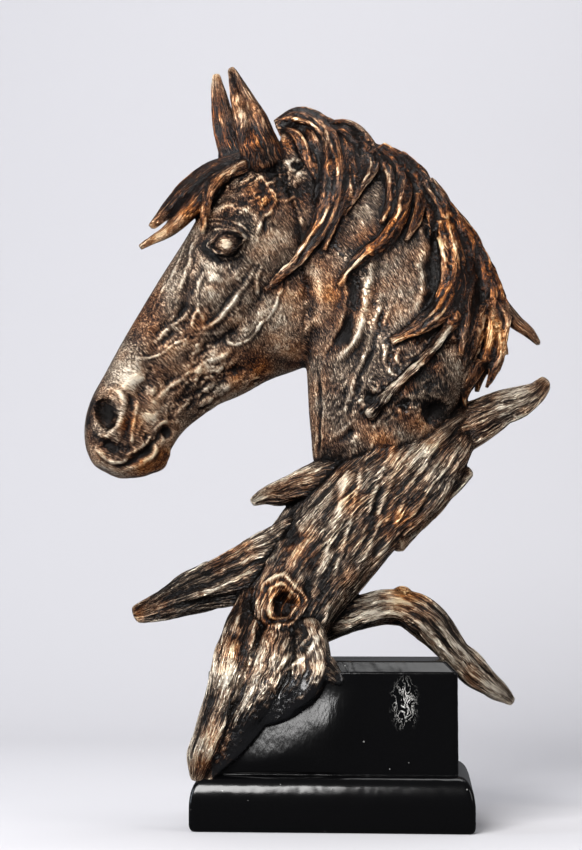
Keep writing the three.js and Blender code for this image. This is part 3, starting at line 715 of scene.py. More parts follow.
def lock_guide(lock, side):
    """Guide points of a lock laid on the flesh, with the half width and the outward direction at each."""
    shares = np.linspace(0, 1, 26)
    line = spline([(x, 0, z) for x, z in lock["path"]], shares)
    outward = np.tile([0.0, side, 0.0], (len(line), 1))
    for i, (x, _, z) in enumerate(line):
        hit, place, normal, _ = flesh.ray_cast(Vector((x, side * 200, z)) * MM, Vector((0, -side, 0)))
        lies_on_flesh = hit and side * place.y / MM > CREST_WIDTH
        line[i, 1] = place.y / MM if lies_on_flesh else side * CREST_WIDTH
        if lies_on_flesh:
            outward[i] = normal
    line[:, 1] = np.convolve(np.pad(line[:, 1], 2, "edge"), np.ones(5) / 5, "valid")
    line += outward * LOCK_LIFT
    swell = 0.35 + 0.8 * np.sin(np.pi * (0.15 + 0.8 * shares))
    return line, lock["width"] / 2 * swell * (1 - 0.5 * shares**3), outward


guides = [lock_guide(lock, -1) for lock in LOCKS]
guides += [lock_guide(lock, 1) for lock in LOCKS if lock.get("far")]
fills = [between(LOCKS[a], LOCKS[b], until) for a, b, until in FILLS]
fill_guides = [lock_guide(lock, side) for lock in fills for side in (-1, 1)]
for line, _, outward in fill_guides:
    line -= outward * FILL_SINK
print("guides:", len(guides), "longest:", round(max(length_along(g[0])[-1] for g in guides)), "mm")

# %% [markdown]
# The guides go in as a mesh of plain edges that carries two attributes: half the lock's width, and which
# way is out. Inside the tree, Mesh to Curve turns them into curves, Duplicate Elements makes the strands,
# Set Position spreads them, and Curve to Mesh sweeps the section. The tree stores how far along and how far
# round each point is, for the finish to use.

# %% Strand tree
def add_sockets(tree, way, rows):
    """Sockets of a node group from rows of a name, a kind and, for a number, its usual value."""
    for name, kind, *usual in rows:
        socket = tree.interface.new_socket(name, in_out=way, socket_type="NodeSocket" + kind)
        if usual:
            socket.default_value = usual[0]


def strand_tree():
    tree = bpy.data.node_groups.new("strands of a lock", "GeometryNodeTree")
    rows = [
        ("Guides", "Geometry"),
        ("Strands", "Int", 4),
        ("Spread", "Float", 0.62),
        ("Thickness", "Float", 0.4),
        ("Wave", "Float", 0.22),
        ("Step", "Float", 1.2 * MM),
        ("Seed", "Int", 5),
        ("Material", "Material"),
    ]
    add_sockets(tree, "INPUT", rows)
    add_sockets(tree, "OUTPUT", [("Strand mesh", "Geometry")])
    return tree


def node(tree, kind, inputs=None, **settings):
    """A node with settings, whose inputs are values or other nodes' outputs."""
    made = tree.nodes.new(kind)
    for key, value in settings.items():
        setattr(made, key, value)
    for key, value in (inputs or {}).items():
        socket = made.inputs[key]
        if isinstance(value, bpy.types.NodeSocket):
            tree.links.new(value, socket)
        else:
            socket.default_value = value
    return made


def sums(tree, operation, *values):
    """The result of a Math node on numbers or outputs."""
    return node(tree, "ShaderNodeMath", dict(enumerate(values)), operation=operation).outputs[0]


def vector(tree, operation, *values, out="Vector"):
    """The result of a Vector Math node."""
    inputs = {("Scale" if operation == "SCALE" and i == 1 else i): value for i, value in enumerate(values)}
    return node(tree, "ShaderNodeVectorMath", inputs, operation=operation).outputs[out]


def stored(tree, geometry, name, value, domain="POINT"):
    """The geometry with a number kept on it under a name."""
    inputs = {"Geometry": geometry, "Name": name, "Value": value}
    kept = node(tree, "GeometryNodeStoreNamedAttribute", inputs, domain=domain, data_type="FLOAT")
    return kept.outputs[0]


def named(tree, name, kind="FLOAT"):
    """A number or a vector that the geometry carries under a name."""
    found = node(tree, "GeometryNodeInputNamedAttribute", {"Name": name}, data_type=kind)
    return found.outputs["Attribute"]


# A Random Value node has sockets of one name for each kind of number, so these are picked by place.
RANDOM_LOWEST, RANDOM_HIGHEST, RANDOM_RESULT = 2, 3, 1


def fill_strand_tree(tree):
    group = node(tree, "NodeGroupInput").outputs
    half = named(tree, "half_width")
    out = named(tree, "outward", "FLOAT_VECTOR")
    curves = node(tree, "GeometryNodeMeshToCurve", {"Mesh": group["Guides"]}).outputs["Curve"]
    even = node(tree, "GeometryNodeResampleCurve", {"Curve": curves, "Length": group["Step"]}, mode="LENGTH")
    copies = node(
        tree,
        "GeometryNodeDuplicateElements",
        {"Geometry": even.outputs[0], "Amount": group["Strands"]},
        domain="SPLINE",
    )
    last = sums(tree, "SUBTRACT", group["Strands"], 1.0)
    place = sums(tree, "SUBTRACT", sums(tree, "DIVIDE", copies.outputs["Duplicate Index"], last), 0.5)
    aside = sums(tree, "MULTIPLY", place, 2.0)
    marked = stored(tree, copies.outputs["Geometry"], "aside", aside, "CURVE")
    aside = named(tree, "aside")
    along = node(tree, "GeometryNodeSplineParameter").outputs
    spline_index = node(tree, "GeometryNodeInputIndex").outputs[0]
    luck = node(
        tree,
        "FunctionNodeRandomValue",
        {RANDOM_LOWEST: 0.0, RANDOM_HIGHEST: 2 * math.pi, "ID": spline_index, "Seed": group["Seed"]},
        data_type="FLOAT",
    )
    luck = node(
        tree,
        "GeometryNodeFieldOnDomain",
        {0: luck.outputs[RANDOM_RESULT]},
        domain="CURVE",
        data_type="FLOAT",
    ).outputs[0]
    wave = sums(tree, "SINE", sums(tree, "ADD", sums(tree, "MULTIPLY", along["Factor"], 7.0), luck))
    spread = sums(tree, "MULTIPLY", aside, group["Spread"])
    shift = sums(tree, "ADD", spread, sums(tree, "MULTIPLY", wave, group["Wave"]))
    tangent = node(tree, "GeometryNodeInputTangent").outputs[0]
    across = vector(tree, "NORMALIZE", vector(tree, "CROSS_PRODUCT", tangent, out))
    sideways = vector(tree, "SCALE", across, sums(tree, "MULTIPLY", shift, half))
    dome = sums(tree, "MULTIPLY", sums(tree, "SUBTRACT", 0.6, sums(tree, "MULTIPLY", shift, shift)), 0.45)
    ripple = sums(tree, "MULTIPLY", sums(tree, "COSINE", sums(tree, "MULTIPLY", luck, 3.0)), 0.14)
    lifted = vector(tree, "SCALE", out, sums(tree, "MULTIPLY", sums(tree, "ADD", dome, ripple), half))
    offset = vector(tree, "ADD", sideways, lifted)
    moved = node(tree, "GeometryNodeSetPosition", {"Geometry": marked, "Offset": offset})
    run = stored(tree, moved.outputs[0], "along", along["Length"])
    ring = node(tree, "GeometryNodeCurvePrimitiveCircle", {"Resolution": 14, "Radius": 1.0})
    round_share = node(tree, "GeometryNodeSplineParameter").outputs["Factor"]
    section = stored(tree, ring.outputs["Curve"], "turn", round_share)
    girth = sums(tree, "MULTIPLY", half, group["Thickness"])
    swept = node(
        tree,
        "GeometryNodeCurveToMesh",
        {"Curve": run, "Profile Curve": section, "Scale": girth, "Fill Caps": True},
    )
    real = node(tree, "GeometryNodeRealizeInstances", {"Geometry": swept.outputs[0]})
    finish = {"Geometry": real.outputs[0], "Material": group["Material"]}
    dressed = node(tree, "GeometryNodeSetMaterial", finish)
    node(tree, "NodeGroupOutput", {"Strand mesh": dressed.outputs[0]})
    return tree


strands_of_a_lock = fill_strand_tree(strand_tree())
print("strand tree:", len(strands_of_a_lock.nodes), "nodes")

# %% Sweep the strands
# The flow of a strand, in millimetres: its stretch along, and how wide it is round.
STRAND_ALONG, STRAND_ROUND = 0.35, 2.2
bronze = bpy.data.materials.new("aged_bronze")


def forelock_guide(rows):
    """A guide line through the middle of a forelock lock, which hangs free of the head."""
    rows = np.array(head_points(rows), float)
    shares = np.linspace(0, 1, 20)
    line = to_head(spline(rows[:, :3], shares))
    outward = unit(np.tile(TURN @ np.array([-0.5, -0.75, 0.45]), (len(line), 1)))
    return line, spline(rows[:, 3:], shares)[:, 0] * 1.05, outward


def forelock_core(rows):
    """The solid middle of a forelock lock, thinner than the lock."""
    thinner = [[f, s, h, r * 0.75, d * 0.8] for f, s, h, r, d in rows]
    return in_head(limb(head_points(thinner), HAIR, sides=32, stroke=HAIR_STROKE))


def strand_form(guide_list, **inputs):
    """The strands of a list of guides as one form."""
    points = np.vstack([line for line, _, _ in guide_list])
    starts = np.cumsum([0] + [len(line) for line, _, _ in guide_list])
    edges = [(i, i + 1) for a, b in zip(starts[:-1], starts[1:]) for i in range(a, b - 1)]
    mesh = bpy.data.meshes.new("guides")
    mesh.from_pydata((points * MM).tolist(), edges, [])
    half = np.concatenate([width for _, width, _ in guide_list]) * MM
    mesh.attributes.new("half_width", "FLOAT", "POINT").data.foreach_set("value", half.astype(np.float32))
    outward = np.vstack([out for _, _, out in guide_list]).astype(np.float32)
    mesh.attributes.new("outward", "FLOAT_VECTOR", "POINT").data.foreach_set("vector", outward.ravel())
    made = bpy.data.objects.new("guides", mesh)
    bpy.context.scene.collection.objects.link(made)
    sweep_strands = made.modifiers.new("strands", "NODES")
    sweep_strands.node_group = strands_of_a_lock
    sockets = {item.name: item.identifier for item in strands_of_a_lock.interface.items_tree}
    for name, value in inputs.items():
        sweep_strands[sockets[name]] = value
    sweep_strands[sockets["Material"]] = bronze
    plain = plain_copy(made, "strands")
    mesh = plain.data
    flow = np.zeros((len(mesh.vertices), 3))
    for name, column in (("along", 0), ("turn", 1)):
        values = np.empty(len(mesh.vertices), np.float32)
        mesh.attributes[name].data.foreach_get("value", values)
        flow[:, column] = values
    turn = flow[:, 1] * 2 * np.pi
    flow = [flow[:, 0] / MM * STRAND_ALONG, STRAND_ROUND * np.cos(turn), STRAND_ROUND * np.sin(turn)]
    faces = [list(face.vertices) for face in mesh.polygons]
    form = Form(points_of(mesh), faces, np.stack(flow, axis=1), HAIR)
    bpy.data.objects.remove(plain)
    return form


mane = strand_form(guides, Strands=7, Thickness=0.27)
mane_fill = strand_form(fill_guides, Strands=6, Thickness=0.3, Spread=0.8, Seed=8)
forelock = strand_form([forelock_guide(rows) for rows in FORELOCK], Strands=7, Spread=0.6, Thickness=0.3)
wisps = [limb(wisp, HAIR, sides=24, stroke=HAIR_STROKE) for wisp in WISPS]
forelock_cores = [forelock_core(rows) for rows in FORELOCK]
print("mane points:", len(mane.points), "forelock points:", len(forelock.points))

# %% [markdown]
# ## Driftwood
#
# Each limb is a loft with the bark worked into its section: slow flutes that wind round it, as in the
# solids, and over them lumps and broad grooves, stretched along the grain. The fine fibres come later, on
# the melted skin.

# %% Driftwood limbs
DRIFTWOOD = dict(
    trunk=[
        [-36, -8, 72, 17, 36], [-34, -8, 92, 20, 32], [-29, -7, 112, 27, 31], [-12, -3, 142, 30, 29],
        [9, 0, 167, 31, 28], [34, 2, 191, 31, 27], [55, 4, 211, 24, 23], [69, 5, 221, 15, 15],
    ],
    right_branch=[
        [47, 2, 205, 16, 18], [75, 3, 218, 12.5, 12], [91.5, 4, 226, 10.5, 9.5],
        [103, 4, 230.5, 8.5, 7.5], [111, 4, 235, 6, 6], [117, 4, 241, 3.5, 3.5],
    ],
    low_right_branch=[
        [29, 0, 164, 17, 18], [49, 2, 174, 10, 11], [61, 3, 182, 6.5, 7], [68, 3, 187, 5, 5],
        [74, 3, 191, 3.5, 3.5],
    ],
    left_stub=[
        [-1, -5, 186, 14, 14], [-18, -9, 183, 8.8, 11], [-29, -10, 179.5, 7.5, 8.5],
        [-38, -11, 177.5, 5, 6], [-45, -12, 174, 2.5, 3],
    ],
    left_branch=[
        [-18, -6, 149, 20, 20], [-37, -8, 141, 17.5, 17], [-55, -10, 133, 15, 14],
        [-73, -11, 127, 12, 12], [-87, -12, 121, 9.5, 9.5], [-99, -12, 116, 7, 7],
        [-109, -13, 112.5, 4.5, 4.5],
    ],
    left_root=[
        [-40, -16, 117, 14, 13], [-47.5, -33, 97, 14, 12], [-52, -43, 80, 12, 10.5],
        [-57.5, -47, 64, 10, 9], [-63, -48, 50, 8.5, 8], [-67.5, -49, 38, 7.5, 6.5],
        [-70.5, -49.5, 27, 3.5, 3.5],
    ],
    middle_root=[
        [-27, -30, 104, 14, 10], [-31, -42, 88, 14, 9], [-37, -47, 72, 13, 8], [-45, -49, 57, 11, 6.5],
        [-53, -49.5, 44, 8, 5], [-59.5, -49.5, 34, 4.5, 4], [-65, -49.5, 26, 2, 2.5],
    ],
    front_root=[
        [-16, -30, 103, 11, 9], [-11, -42, 88, 11, 8.5], [-14, -47.5, 75, 9, 6.5],
        [-25, -49, 64, 6.5, 5], [-35, -49.5, 57, 3, 3],
    ],
    side_root=[
        [-21, -28, 102, 9, 9], [-12, -38, 91, 8.5, 9], [-3, -44, 83, 7, 6.5], [5, -47, 77, 2.5, 3],
    ],
    neck_twig=[
        [64, -24, 268, 1.4, 3], [56, -27, 257, 1.9, 3.6], [44, -28, 245, 2.2, 4],
        [31, -28, 233, 2.6, 4.5], [20, -27, 220, 3.2, 5.5],
    ],
    right_root=[
        [-17, 2, 106, 13, 14], [-1, 2, 108.5, 10, 12], [17, 3, 114, 9, 11], [30, 4, 116.5, 9.5, 11],
        [41, 5, 114.5, 10, 11], [52, 5, 106.5, 10, 10.5], [63, 6, 93.5, 9, 10], [76, 6, 80, 8, 8.5],
        [89, 6, 70, 5.5, 6], [96, 6, 64.5, 2.5, 2.5],
    ],
)
FLUTE_DEPTH = 0.075
WOOD_STROKE = (0.3, 1.1)
GROOVE_DEPTH = 1.0
ROOT_KNOB = dict(centre=(36.5, 4, 122), radius=6)


def bark(seed):
    """How far bark stands out round and along a limb."""

    def relief(turn, share, flow, radii):
        slow = 0.6 * np.sin(3 * turn + seed + 2.4 * share)
        slow = slow + 0.55 * np.sin(5 * turn - 1.7 * seed - 3.1 * share)
        slow = slow + 0.35 * np.sin(2 * turn + 9 * share + seed)
        place = flow / (WOOD_STROKE[0], WOOD_STROKE[1], WOOD_STROKE[1]) + seed * 40
        lumps = noise(place * (1 / 26, 1 / 12, 1 / 12) + 17)
        broad = grooves(place * (1 / 38, 1 / 8, 1 / 8) + 0.35 * lumps[..., None])
        depth = GROOVE_DEPTH * np.minimum(radii.mean(axis=1, keepdims=True) / 9, 1)
        return FLUTE_DEPTH * radii.mean(axis=1, keepdims=True) * slow + depth * (0.8 * broad + 1.4 * lumps)

    return relief


def wood_forms():
    forms = []
    for seed, (name, points) in enumerate(DRIFTWOOD.items()):
        girth = max(point[3] for point in points)
        sides = int(np.clip(2 * math.pi * girth / 0.9, 36, 220))
        forms.append(limb(points, WOOD, sides=sides, step=0.8, relief=bark(seed), stroke=WOOD_STROKE))
    knob = ellipsoid(ROOT_KNOB["centre"], (ROOT_KNOB["radius"],) * 3, WOOD)
    return forms + [knob]


wood = wood_forms()
print("wood points:", sum(len(form.points) for form in wood))

# %% Melt everything into one casting
CAST_VOXEL = 0.8


def flesh_form():
    """The pressed flesh as a form, with the flow of whichever section it came from."""
    points = points_of(flesh.data)
    quads = np.empty(len(flesh.data.loops), np.int32)
    flesh.data.loops.foreach_get("vertex_index", quads)
    # Only the head and the neck say how the coat lies; the cheeks and the chin just swell them.
    flow, kind = nearest_flow(points, flesh_sources[:2])
    return Form(points, quads.reshape(-1, 4).tolist(), flow, SKIN)


def nearest_flow(points, forms):
    """Flow and kind of the source point nearest to each point."""
    sources = np.vstack([form.points for form in forms])
    flows = np.vstack([form.flow for form in forms])
    kinds = np.concatenate([np.full(len(form.points), form.kind) for form in forms])
    tree = kdtree.KDTree(len(sources))
    for i, place in enumerate(sources.tolist()):
        tree.insert(place, i)
    tree.balance()
    found = np.fromiter((tree.find(place)[1] for place in points.tolist()), int, len(points))
    return flows[found], kinds[found]


pieces = [flesh_form(), mane, mane_fill, forelock, *forelock_cores, *wisps, *eyes, *ears, *wood]
casting = melted("horse_and_driftwood_cast", pieces, CAST_VOXEL)
bpy.data.objects.remove(flesh)
print("casting:", len(casting.data.vertices), "points from", sum(len(p.points) for p in pieces))

# %% [markdown]
# ## Carving
#
# The casting is now one even skin, ready for the chisel. Each line of relief is a short row of image
# places, read off the photograph. A ray through the camera puts every place on the skin, and the points
# near that line then move in or out. A ridge gets a shallow moat on each side, which is what makes it read
# as a crisp edge. Lines of the head and neck are mirrored to the far side.

# %% Lines of relief on the head
# Each line: half width and height in millimetres, how much gold it holds, and its row of image places.
HEAD_LINES = [
    dict(half=1.3, height=2.0, gold=0.7, path=[
        (254, 272), (247, 284), (238, 296), (230, 306), (223, 315), (214, 323), (204, 329),
    ]),
    dict(half=0.8, height=1.4, gold=0.3, path=[
        (284, 272), (281, 289), (277, 303), (270, 315), (261, 325), (254, 334), (246, 341), (237, 345),
        (229, 341), (226, 332),
    ]),
    dict(half=1.0, height=1.4, gold=1.0, path=[
        (203, 274), (198, 284), (196, 297), (198, 309), (193, 320), (191, 329),
    ]),
    dict(half=0.9, height=1.1, gold=0.5, path=[(198, 309), (203, 318), (205, 327)]),
    dict(half=0.7, height=1.1, gold=0.4, path=[
        (226, 332), (207, 333), (190, 336), (176, 343), (165, 351), (152, 357), (138, 359),
    ]),
    dict(half=1.3, height=1.3, gold=0.9, path=[(192, 308), (183, 318), (173, 325), (164, 333), (155, 342)]),
    dict(half=1.3, height=1.7, gold=0.9, path=[
        (232, 352), (220, 357), (208, 362), (197, 369), (184, 377), (170, 387), (158, 396),
    ]),
    dict(half=1.3, height=1.4, gold=0.7, path=[(215, 382), (204, 391), (193, 398), (183, 406), (174, 414)]),
    dict(half=0.9, height=1.2, gold=0.8, path=[(214, 345), (203, 349), (195, 352), (190, 361)]),
    dict(half=1.5, height=1.3, gold=0.2, path=[
        (270, 373), (250, 379), (234, 384), (218, 393), (203, 403), (190, 413),
    ]),
    dict(half=1.0, height=1.3, gold=0.9, path=[(262, 265), (257, 280), (259, 296)]),
    dict(half=1.0, height=1.2, gold=0.9, path=[(198, 236), (192, 250), (189, 264), (184, 278), (178, 292)]),
    dict(half=0.9, height=0.9, gold=0.6, path=[
        (188, 238), (182, 253), (176, 268), (168, 283), (158, 300), (148, 318),
    ]),
    dict(half=1.3, height=1.4, gold=0.6, path=[(205, 186), (203, 203), (204, 220), (203, 238)]),
    dict(half=1.1, height=1.2, gold=0.9, path=[(237, 165), (230, 176), (227, 190)]),
    dict(half=1.2, height=1.7, gold=0.3, path=[
        (258, 172), (267, 186), (276, 200), (271, 211), (262, 221), (258, 234),
    ]),
    dict(half=1.0, height=1.2, gold=0.8, path=[(276, 200), (286, 201), (296, 197), (304, 203)]),
    dict(half=0.8, height=1.0, gold=0.8, path=[(292, 188), (295, 200), (299, 213), (303, 226)]),
    dict(half=2.3, height=1.4, gold=0.6, path=[(210, 274), (220, 279), (231, 278), (241, 271)]),
]
EYE_LINES = [
    dict(half=2.2, height=2.0, gold=-0.3, path=[
        (213, 213), (226, 208), (240, 209), (252, 215), (258, 224), (257, 235),
    ]),
    dict(half=0.7, height=1.2, gold=0.1, path=[(211, 219), (222, 219), (234, 223), (245, 229), (253, 238)]),
    dict(half=0.8, height=1.0, gold=0.1, path=[(209, 225), (220, 224), (231, 227), (241, 233), (249, 241)]),
    dict(half=0.8, height=1.1, gold=0.0, path=[
        (205, 238), (212, 232), (221, 229), (230, 230), (238, 234), (243, 240),
    ]),
    dict(half=0.8, height=1.0, gold=0.25, path=[
        (214, 253), (222, 257), (231, 258), (239, 254), (244, 247), (245, 239),
    ]),
    dict(half=2.6, height=-2.2, gold=-0.6, path=[(203, 241), (207, 249), (214, 257), (224, 262)]),
]
MUZZLE_LINES = [
    dict(half=1.5, height=1.6, gold=1.3, path=[
        (110, 389), (117, 391), (122, 399), (123, 409), (120, 420), (114, 430),
    ]),
    dict(half=1.2, height=1.0, gold=0.3, path=[(114, 430), (107, 436), (99, 436)]),
    dict(half=0.8, height=0.9, gold=-0.5, path=[(94, 404), (91, 413), (92, 423), (96, 432), (101, 438)]),
    dict(half=0.8, height=0.8, gold=0.2, path=[(94, 403), (101, 399), (107, 397)]),
    dict(half=1.6, height=-1.6, gold=-0.7, path=[(129, 391), (131, 404), (130, 418), (127, 432), (122, 440)]),
    dict(half=1.0, height=1.1, gold=0.7, path=[(136, 402), (135, 416), (132, 430), (131, 444)]),
    dict(half=2.4, height=-2.2, gold=-0.9, path=[(103, 442), (110, 447), (118, 449), (125, 446)]),
    dict(half=1.0, height=1.6, gold=0.9, path=[(98, 450), (105, 458), (113, 462), (122, 462), (130, 457)]),
    dict(half=0.7, height=1.0, gold=-0.2, path=[
        (179, 421), (166, 422), (157, 427), (150, 437), (143, 446), (133, 453), (125, 455),
    ]),
    dict(half=1.8, height=-2.8, gold=-0.9, path=[
        (176, 428), (167, 428), (160, 433), (154, 442), (146, 451), (138, 457), (130, 463), (118, 467),
    ]),
    dict(half=1.3, height=1.3, gold=0.6, path=[(156, 441), (155, 451), (150, 459), (141, 465)]),
    dict(half=1.6, height=1.2, gold=0.1, path=[(169, 446), (168, 458), (160, 467), (148, 472)]),
]
BROAD_HEAD = [
    dict(half=5, height=-1.6, gold=0, path=[(203, 264), (192, 290), (175, 322), (152, 350)]),
    dict(half=4, height=-1.8, gold=-0.1, path=[(268, 288), (252, 308), (236, 328), (212, 344), (185, 362)]),
    dict(half=4.5, height=-2.4, gold=-0.6, path=[(268, 166), (280, 175), (292, 186), (302, 200)]),
    dict(half=3.0, height=-1.6, gold=-0.3, path=[(248, 364), (228, 374), (205, 386), (184, 400)]),
    dict(half=3.5, height=-1.5, gold=-0.2, path=[(152, 366), (142, 385), (138, 402)]),
    dict(half=5, height=1.6, gold=0.1, path=[(300, 262), (320, 285), (318, 315), (300, 335)]),
    dict(half=4, height=1.4, gold=0.1, path=[(150, 400), (158, 412), (150, 424)]),
]
print("head lines:", len(HEAD_LINES) + len(EYE_LINES) + len(MUZZLE_LINES) + len(BROAD_HEAD))

# %% Lines of relief on the neck and the mane
NECK_LINES = [
    dict(half=2.1, height=1.8, gold=0.5, path=[
        (371, 258), (370, 280), (367, 302), (361, 325), (352, 345), (338, 362),
    ]),
    dict(half=2.8, height=-2.4, gold=-0.6, path=[(352, 268), (353, 290), (351, 315), (343, 335), (328, 350)]),
    dict(half=1.0, height=1.0, gold=0.5, path=[(345, 276), (346, 296), (343, 318), (334, 338), (322, 354)]),
    dict(half=3.0, height=-2.6, gold=-0.8, path=[(434, 212), (434, 240), (433, 270), (432, 298), (425, 322)]),
    dict(half=1.4, height=-1.3, gold=-0.3, path=[(386, 300), (379, 325), (372, 350), (362, 375), (356, 400)]),
    dict(half=1.2, height=1.1, gold=0.4, path=[(366, 350), (356, 375), (348, 400), (343, 425)]),
    dict(half=1.0, height=1.0, gold=0.5, path=[(388, 343), (384, 356), (389, 370), (401, 378), (414, 372)]),
    dict(half=1.0, height=0.9, gold=0.5, path=[(400, 347), (397, 358), (402, 367), (412, 363)]),
    dict(half=2.6, height=-2.6, gold=-0.9, path=[(366, 392), (374, 402), (376, 414)]),
    dict(half=2.0, height=-2.2, gold=-0.8, path=[(338, 442), (346, 436), (352, 428)]),
    dict(half=1.4, height=-1.5, gold=-0.5, path=[(318, 372), (320, 400), (319, 430), (318, 455)]),
]
MANE_LINES = [
    dict(half=0.8, height=1.3, gold=1.0, path=[
        (329, 205), (318, 226), (306, 243), (296, 257), (284, 269), (270, 282),
    ]),
    dict(half=0.8, height=1.2, gold=0.9, path=[(322, 122), (329, 140), (336, 160), (337, 182), (333, 200)]),
    dict(half=0.9, height=1.1, gold=0.7, path=[(275, 122), (290, 119), (306, 122), (319, 132), (326, 146)]),
    dict(half=0.8, height=1.2, gold=1.0, path=[(310, 146), (314, 158), (318, 172), (322, 184)]),
    dict(half=0.8, height=1.2, gold=0.8, path=[(376, 150), (385, 168), (391, 188), (390, 206), (384, 220)]),
    dict(half=0.8, height=1.3, gold=0.9, path=[
        (398, 172), (400, 195), (398, 214), (388, 232), (374, 247), (357, 262), (344, 276),
    ]),
    dict(half=0.8, height=1.2, gold=0.8, path=[(350, 160), (351, 180), (350, 198), (344, 212)]),
    dict(half=0.8, height=1.2, gold=1.0, path=[(373, 140), (372, 158), (369, 172), (361, 184)]),
    dict(half=0.9, height=1.3, gold=1.0, path=[(438, 226), (440, 245), (446, 262), (449, 276)]),
    dict(half=0.9, height=1.2, gold=1.0, path=[
        (447, 205), (449, 228), (456, 250), (459, 272), (452, 295), (441, 314), (424, 330), (404, 338),
        (392, 343),
    ]),
    dict(half=0.8, height=1.1, gold=0.8, path=[
        (484, 318), (482, 335), (478, 352), (470, 368), (464, 382), (464, 400), (468, 418),
    ]),
]
print("neck and mane lines:", len(NECK_LINES) + len(MANE_LINES))

# %% Lines of relief on the driftwood
KNOT = dict(middle=(282, 602), outer=(21, 25), inner=(14.5, 17.5), hole=(10, 12))


def oval(middle, radii, steps=28):
    """A closed, slightly cornered oval of image places."""
    places = []
    for i in range(steps + 1):
        turn = 2 * math.pi * (i % steps) / steps
        bulge = 1 + 0.09 * math.sin(3 * turn + 1) + 0.06 * math.sin(5 * turn + 2)
        across = middle[0] + bulge * radii[0] * math.cos(turn)
        places.append((across, middle[1] + bulge * radii[1] * math.sin(turn)))
    return places


WOOD_LINES = [
    dict(half=2.2, height=1.7, gold=0.8, path=[
        (356, 440), (349, 465), (343, 492), (336, 520), (328, 545), (320, 568), (313, 592), (304, 620),
    ]),
    dict(half=1.2, height=1.3, gold=0.5, path=[
        (374, 440), (363, 465), (357, 490), (352, 515), (345, 540), (337, 565), (330, 590),
    ]),
    dict(half=1.2, height=1.3, gold=0.4, path=[
        (400, 436), (386, 462), (374, 490), (367, 520), (356, 550), (346, 577),
    ]),
    dict(half=1.2, height=1.3, gold=0.6, path=[
        (424, 430), (410, 450), (396, 472), (383, 500), (376, 528), (364, 558),
    ]),
    dict(half=1.4, height=1.4, gold=0.7, path=[
        (446, 428), (431, 455), (414, 478), (401, 505), (393, 530), (380, 556),
    ]),
    dict(half=1.2, height=1.2, gold=0.5, path=[(466, 438), (449, 465), (432, 487), (415, 512), (405, 535)]),
    dict(half=1.0, height=1.2, gold=0.6, path=[(476, 470), (458, 490), (438, 508), (420, 527)]),
    dict(half=1.4, height=1.4, gold=0.6, path=[
        (302, 527), (276, 545), (250, 560), (224, 570), (195, 585), (160, 605),
    ]),
    dict(half=1.2, height=1.2, gold=0.5, path=[(285, 520), (260, 533), (235, 546), (210, 560), (182, 578)]),
    dict(half=1.2, height=1.2, gold=0.5, path=[(290, 548), (263, 564), (240, 577), (215, 590), (185, 600)]),
    dict(half=1.4, height=1.5, gold=0.7, path=[
        (263, 585), (256, 615), (251, 648), (243, 680), (231, 712), (214, 742), (203, 768),
    ]),
    dict(half=1.3, height=1.4, gold=0.6, path=[(241, 600), (236, 640), (226, 680), (215, 715), (200, 750)]),
    dict(half=1.3, height=1.4, gold=0.6, path=[(300, 636), (284, 662), (263, 690), (245, 720), (226, 752)]),
    dict(half=1.3, height=1.4, gold=0.8, path=[(331, 600), (322, 630), (307, 655), (287, 670), (270, 690)]),
    dict(half=1.1, height=1.2, gold=0.6, path=[(314, 625), (305, 643), (290, 655), (275, 675)]),
    dict(half=1.3, height=1.4, gold=0.6, path=[
        (340, 640), (366, 622), (395, 612), (425, 629), (450, 655), (480, 680), (506, 695),
    ]),
    dict(half=1.2, height=1.3, gold=0.6, path=[
        (352, 614), (380, 602), (410, 604), (440, 628), (466, 655), (494, 680),
    ]),
    dict(half=1.4, height=2.6, gold=0.6, path=oval(KNOT["middle"], KNOT["outer"])),
    dict(half=0.9, height=2.2, gold=1.0, path=oval(KNOT["middle"], KNOT["inner"])),
    dict(half=2.4, height=-1.5, gold=-0.6, path=[(318, 560), (308, 575), (310, 600), (302, 625)]),
    dict(half=2.4, height=-2.0, gold=-0.7, path=[(262, 572), (252, 600), (243, 640), (236, 670)]),
]
# Deep dark pockets: image place, radius and depth in millimetres.
POCKETS = [
    dict(place=KNOT["middle"], radius=6.2, depth=5.5),
    dict(place=(436, 413), radius=9, depth=5),
    dict(place=(404, 404), radius=4, depth=2.5),
    dict(place=(290, 535), radius=7, depth=2),
    dict(place=(298, 166), radius=3.5, depth=2.5),
    dict(place=(168, 433), radius=3.5, depth=3.5),
]
# Crumpled skin: image place, radius in pixels and strength.
CRUMPLES = [
    ((236, 178), 16, 0.9), ((262, 186), 20, 1.0), ((288, 172), 18, 1.0), ((250, 206), 14, 0.6),
    ((232, 214), 12, 0.4), ((175, 330), 16, 0.7), ((200, 350), 16, 0.8), ((225, 375), 18, 1.0),
    ((196, 388), 18, 1.0), ((170, 405), 16, 0.9), ((150, 385), 14, 0.6), ((145, 435), 14, 0.6),
    ((255, 380), 14, 0.8), ((208, 402), 14, 0.9), ((112, 445), 12, 0.6), ((385, 400), 26, 0.7),
    ((430, 405), 22, 0.7), ((420, 355), 24, 0.5), ((345, 400), 24, 0.4), ((355, 215), 16, 0.4),
]
print("wood lines:", len(WOOD_LINES), "pockets:", len(POCKETS))

# %% Carve
edges = edges_of(casting.data)
cast_points = points_of(casting.data)
cast_normals = unit(smoothed(normals_of(casting.data), edges, 3))


def on_cast(place):
    """The point and the normal where an image place falls on the casting, in millimetres."""
    hit, point, normal, _ = casting.ray_cast(CAMERA_PLACE, ray_through(place))
    return (np.array(point) / MM, np.array(normal)) if hit else None


def radii_from(place, radius, points):
    """How far points lie from the spot under an image place, in radii of so many pixels."""
    found = on_cast(place)
    if found is None:
        return np.full(len(points), np.inf)
    return np.linalg.norm(points - found[0], axis=1) / (radius / FOCAL_PIXELS * STATUE_DISTANCE)


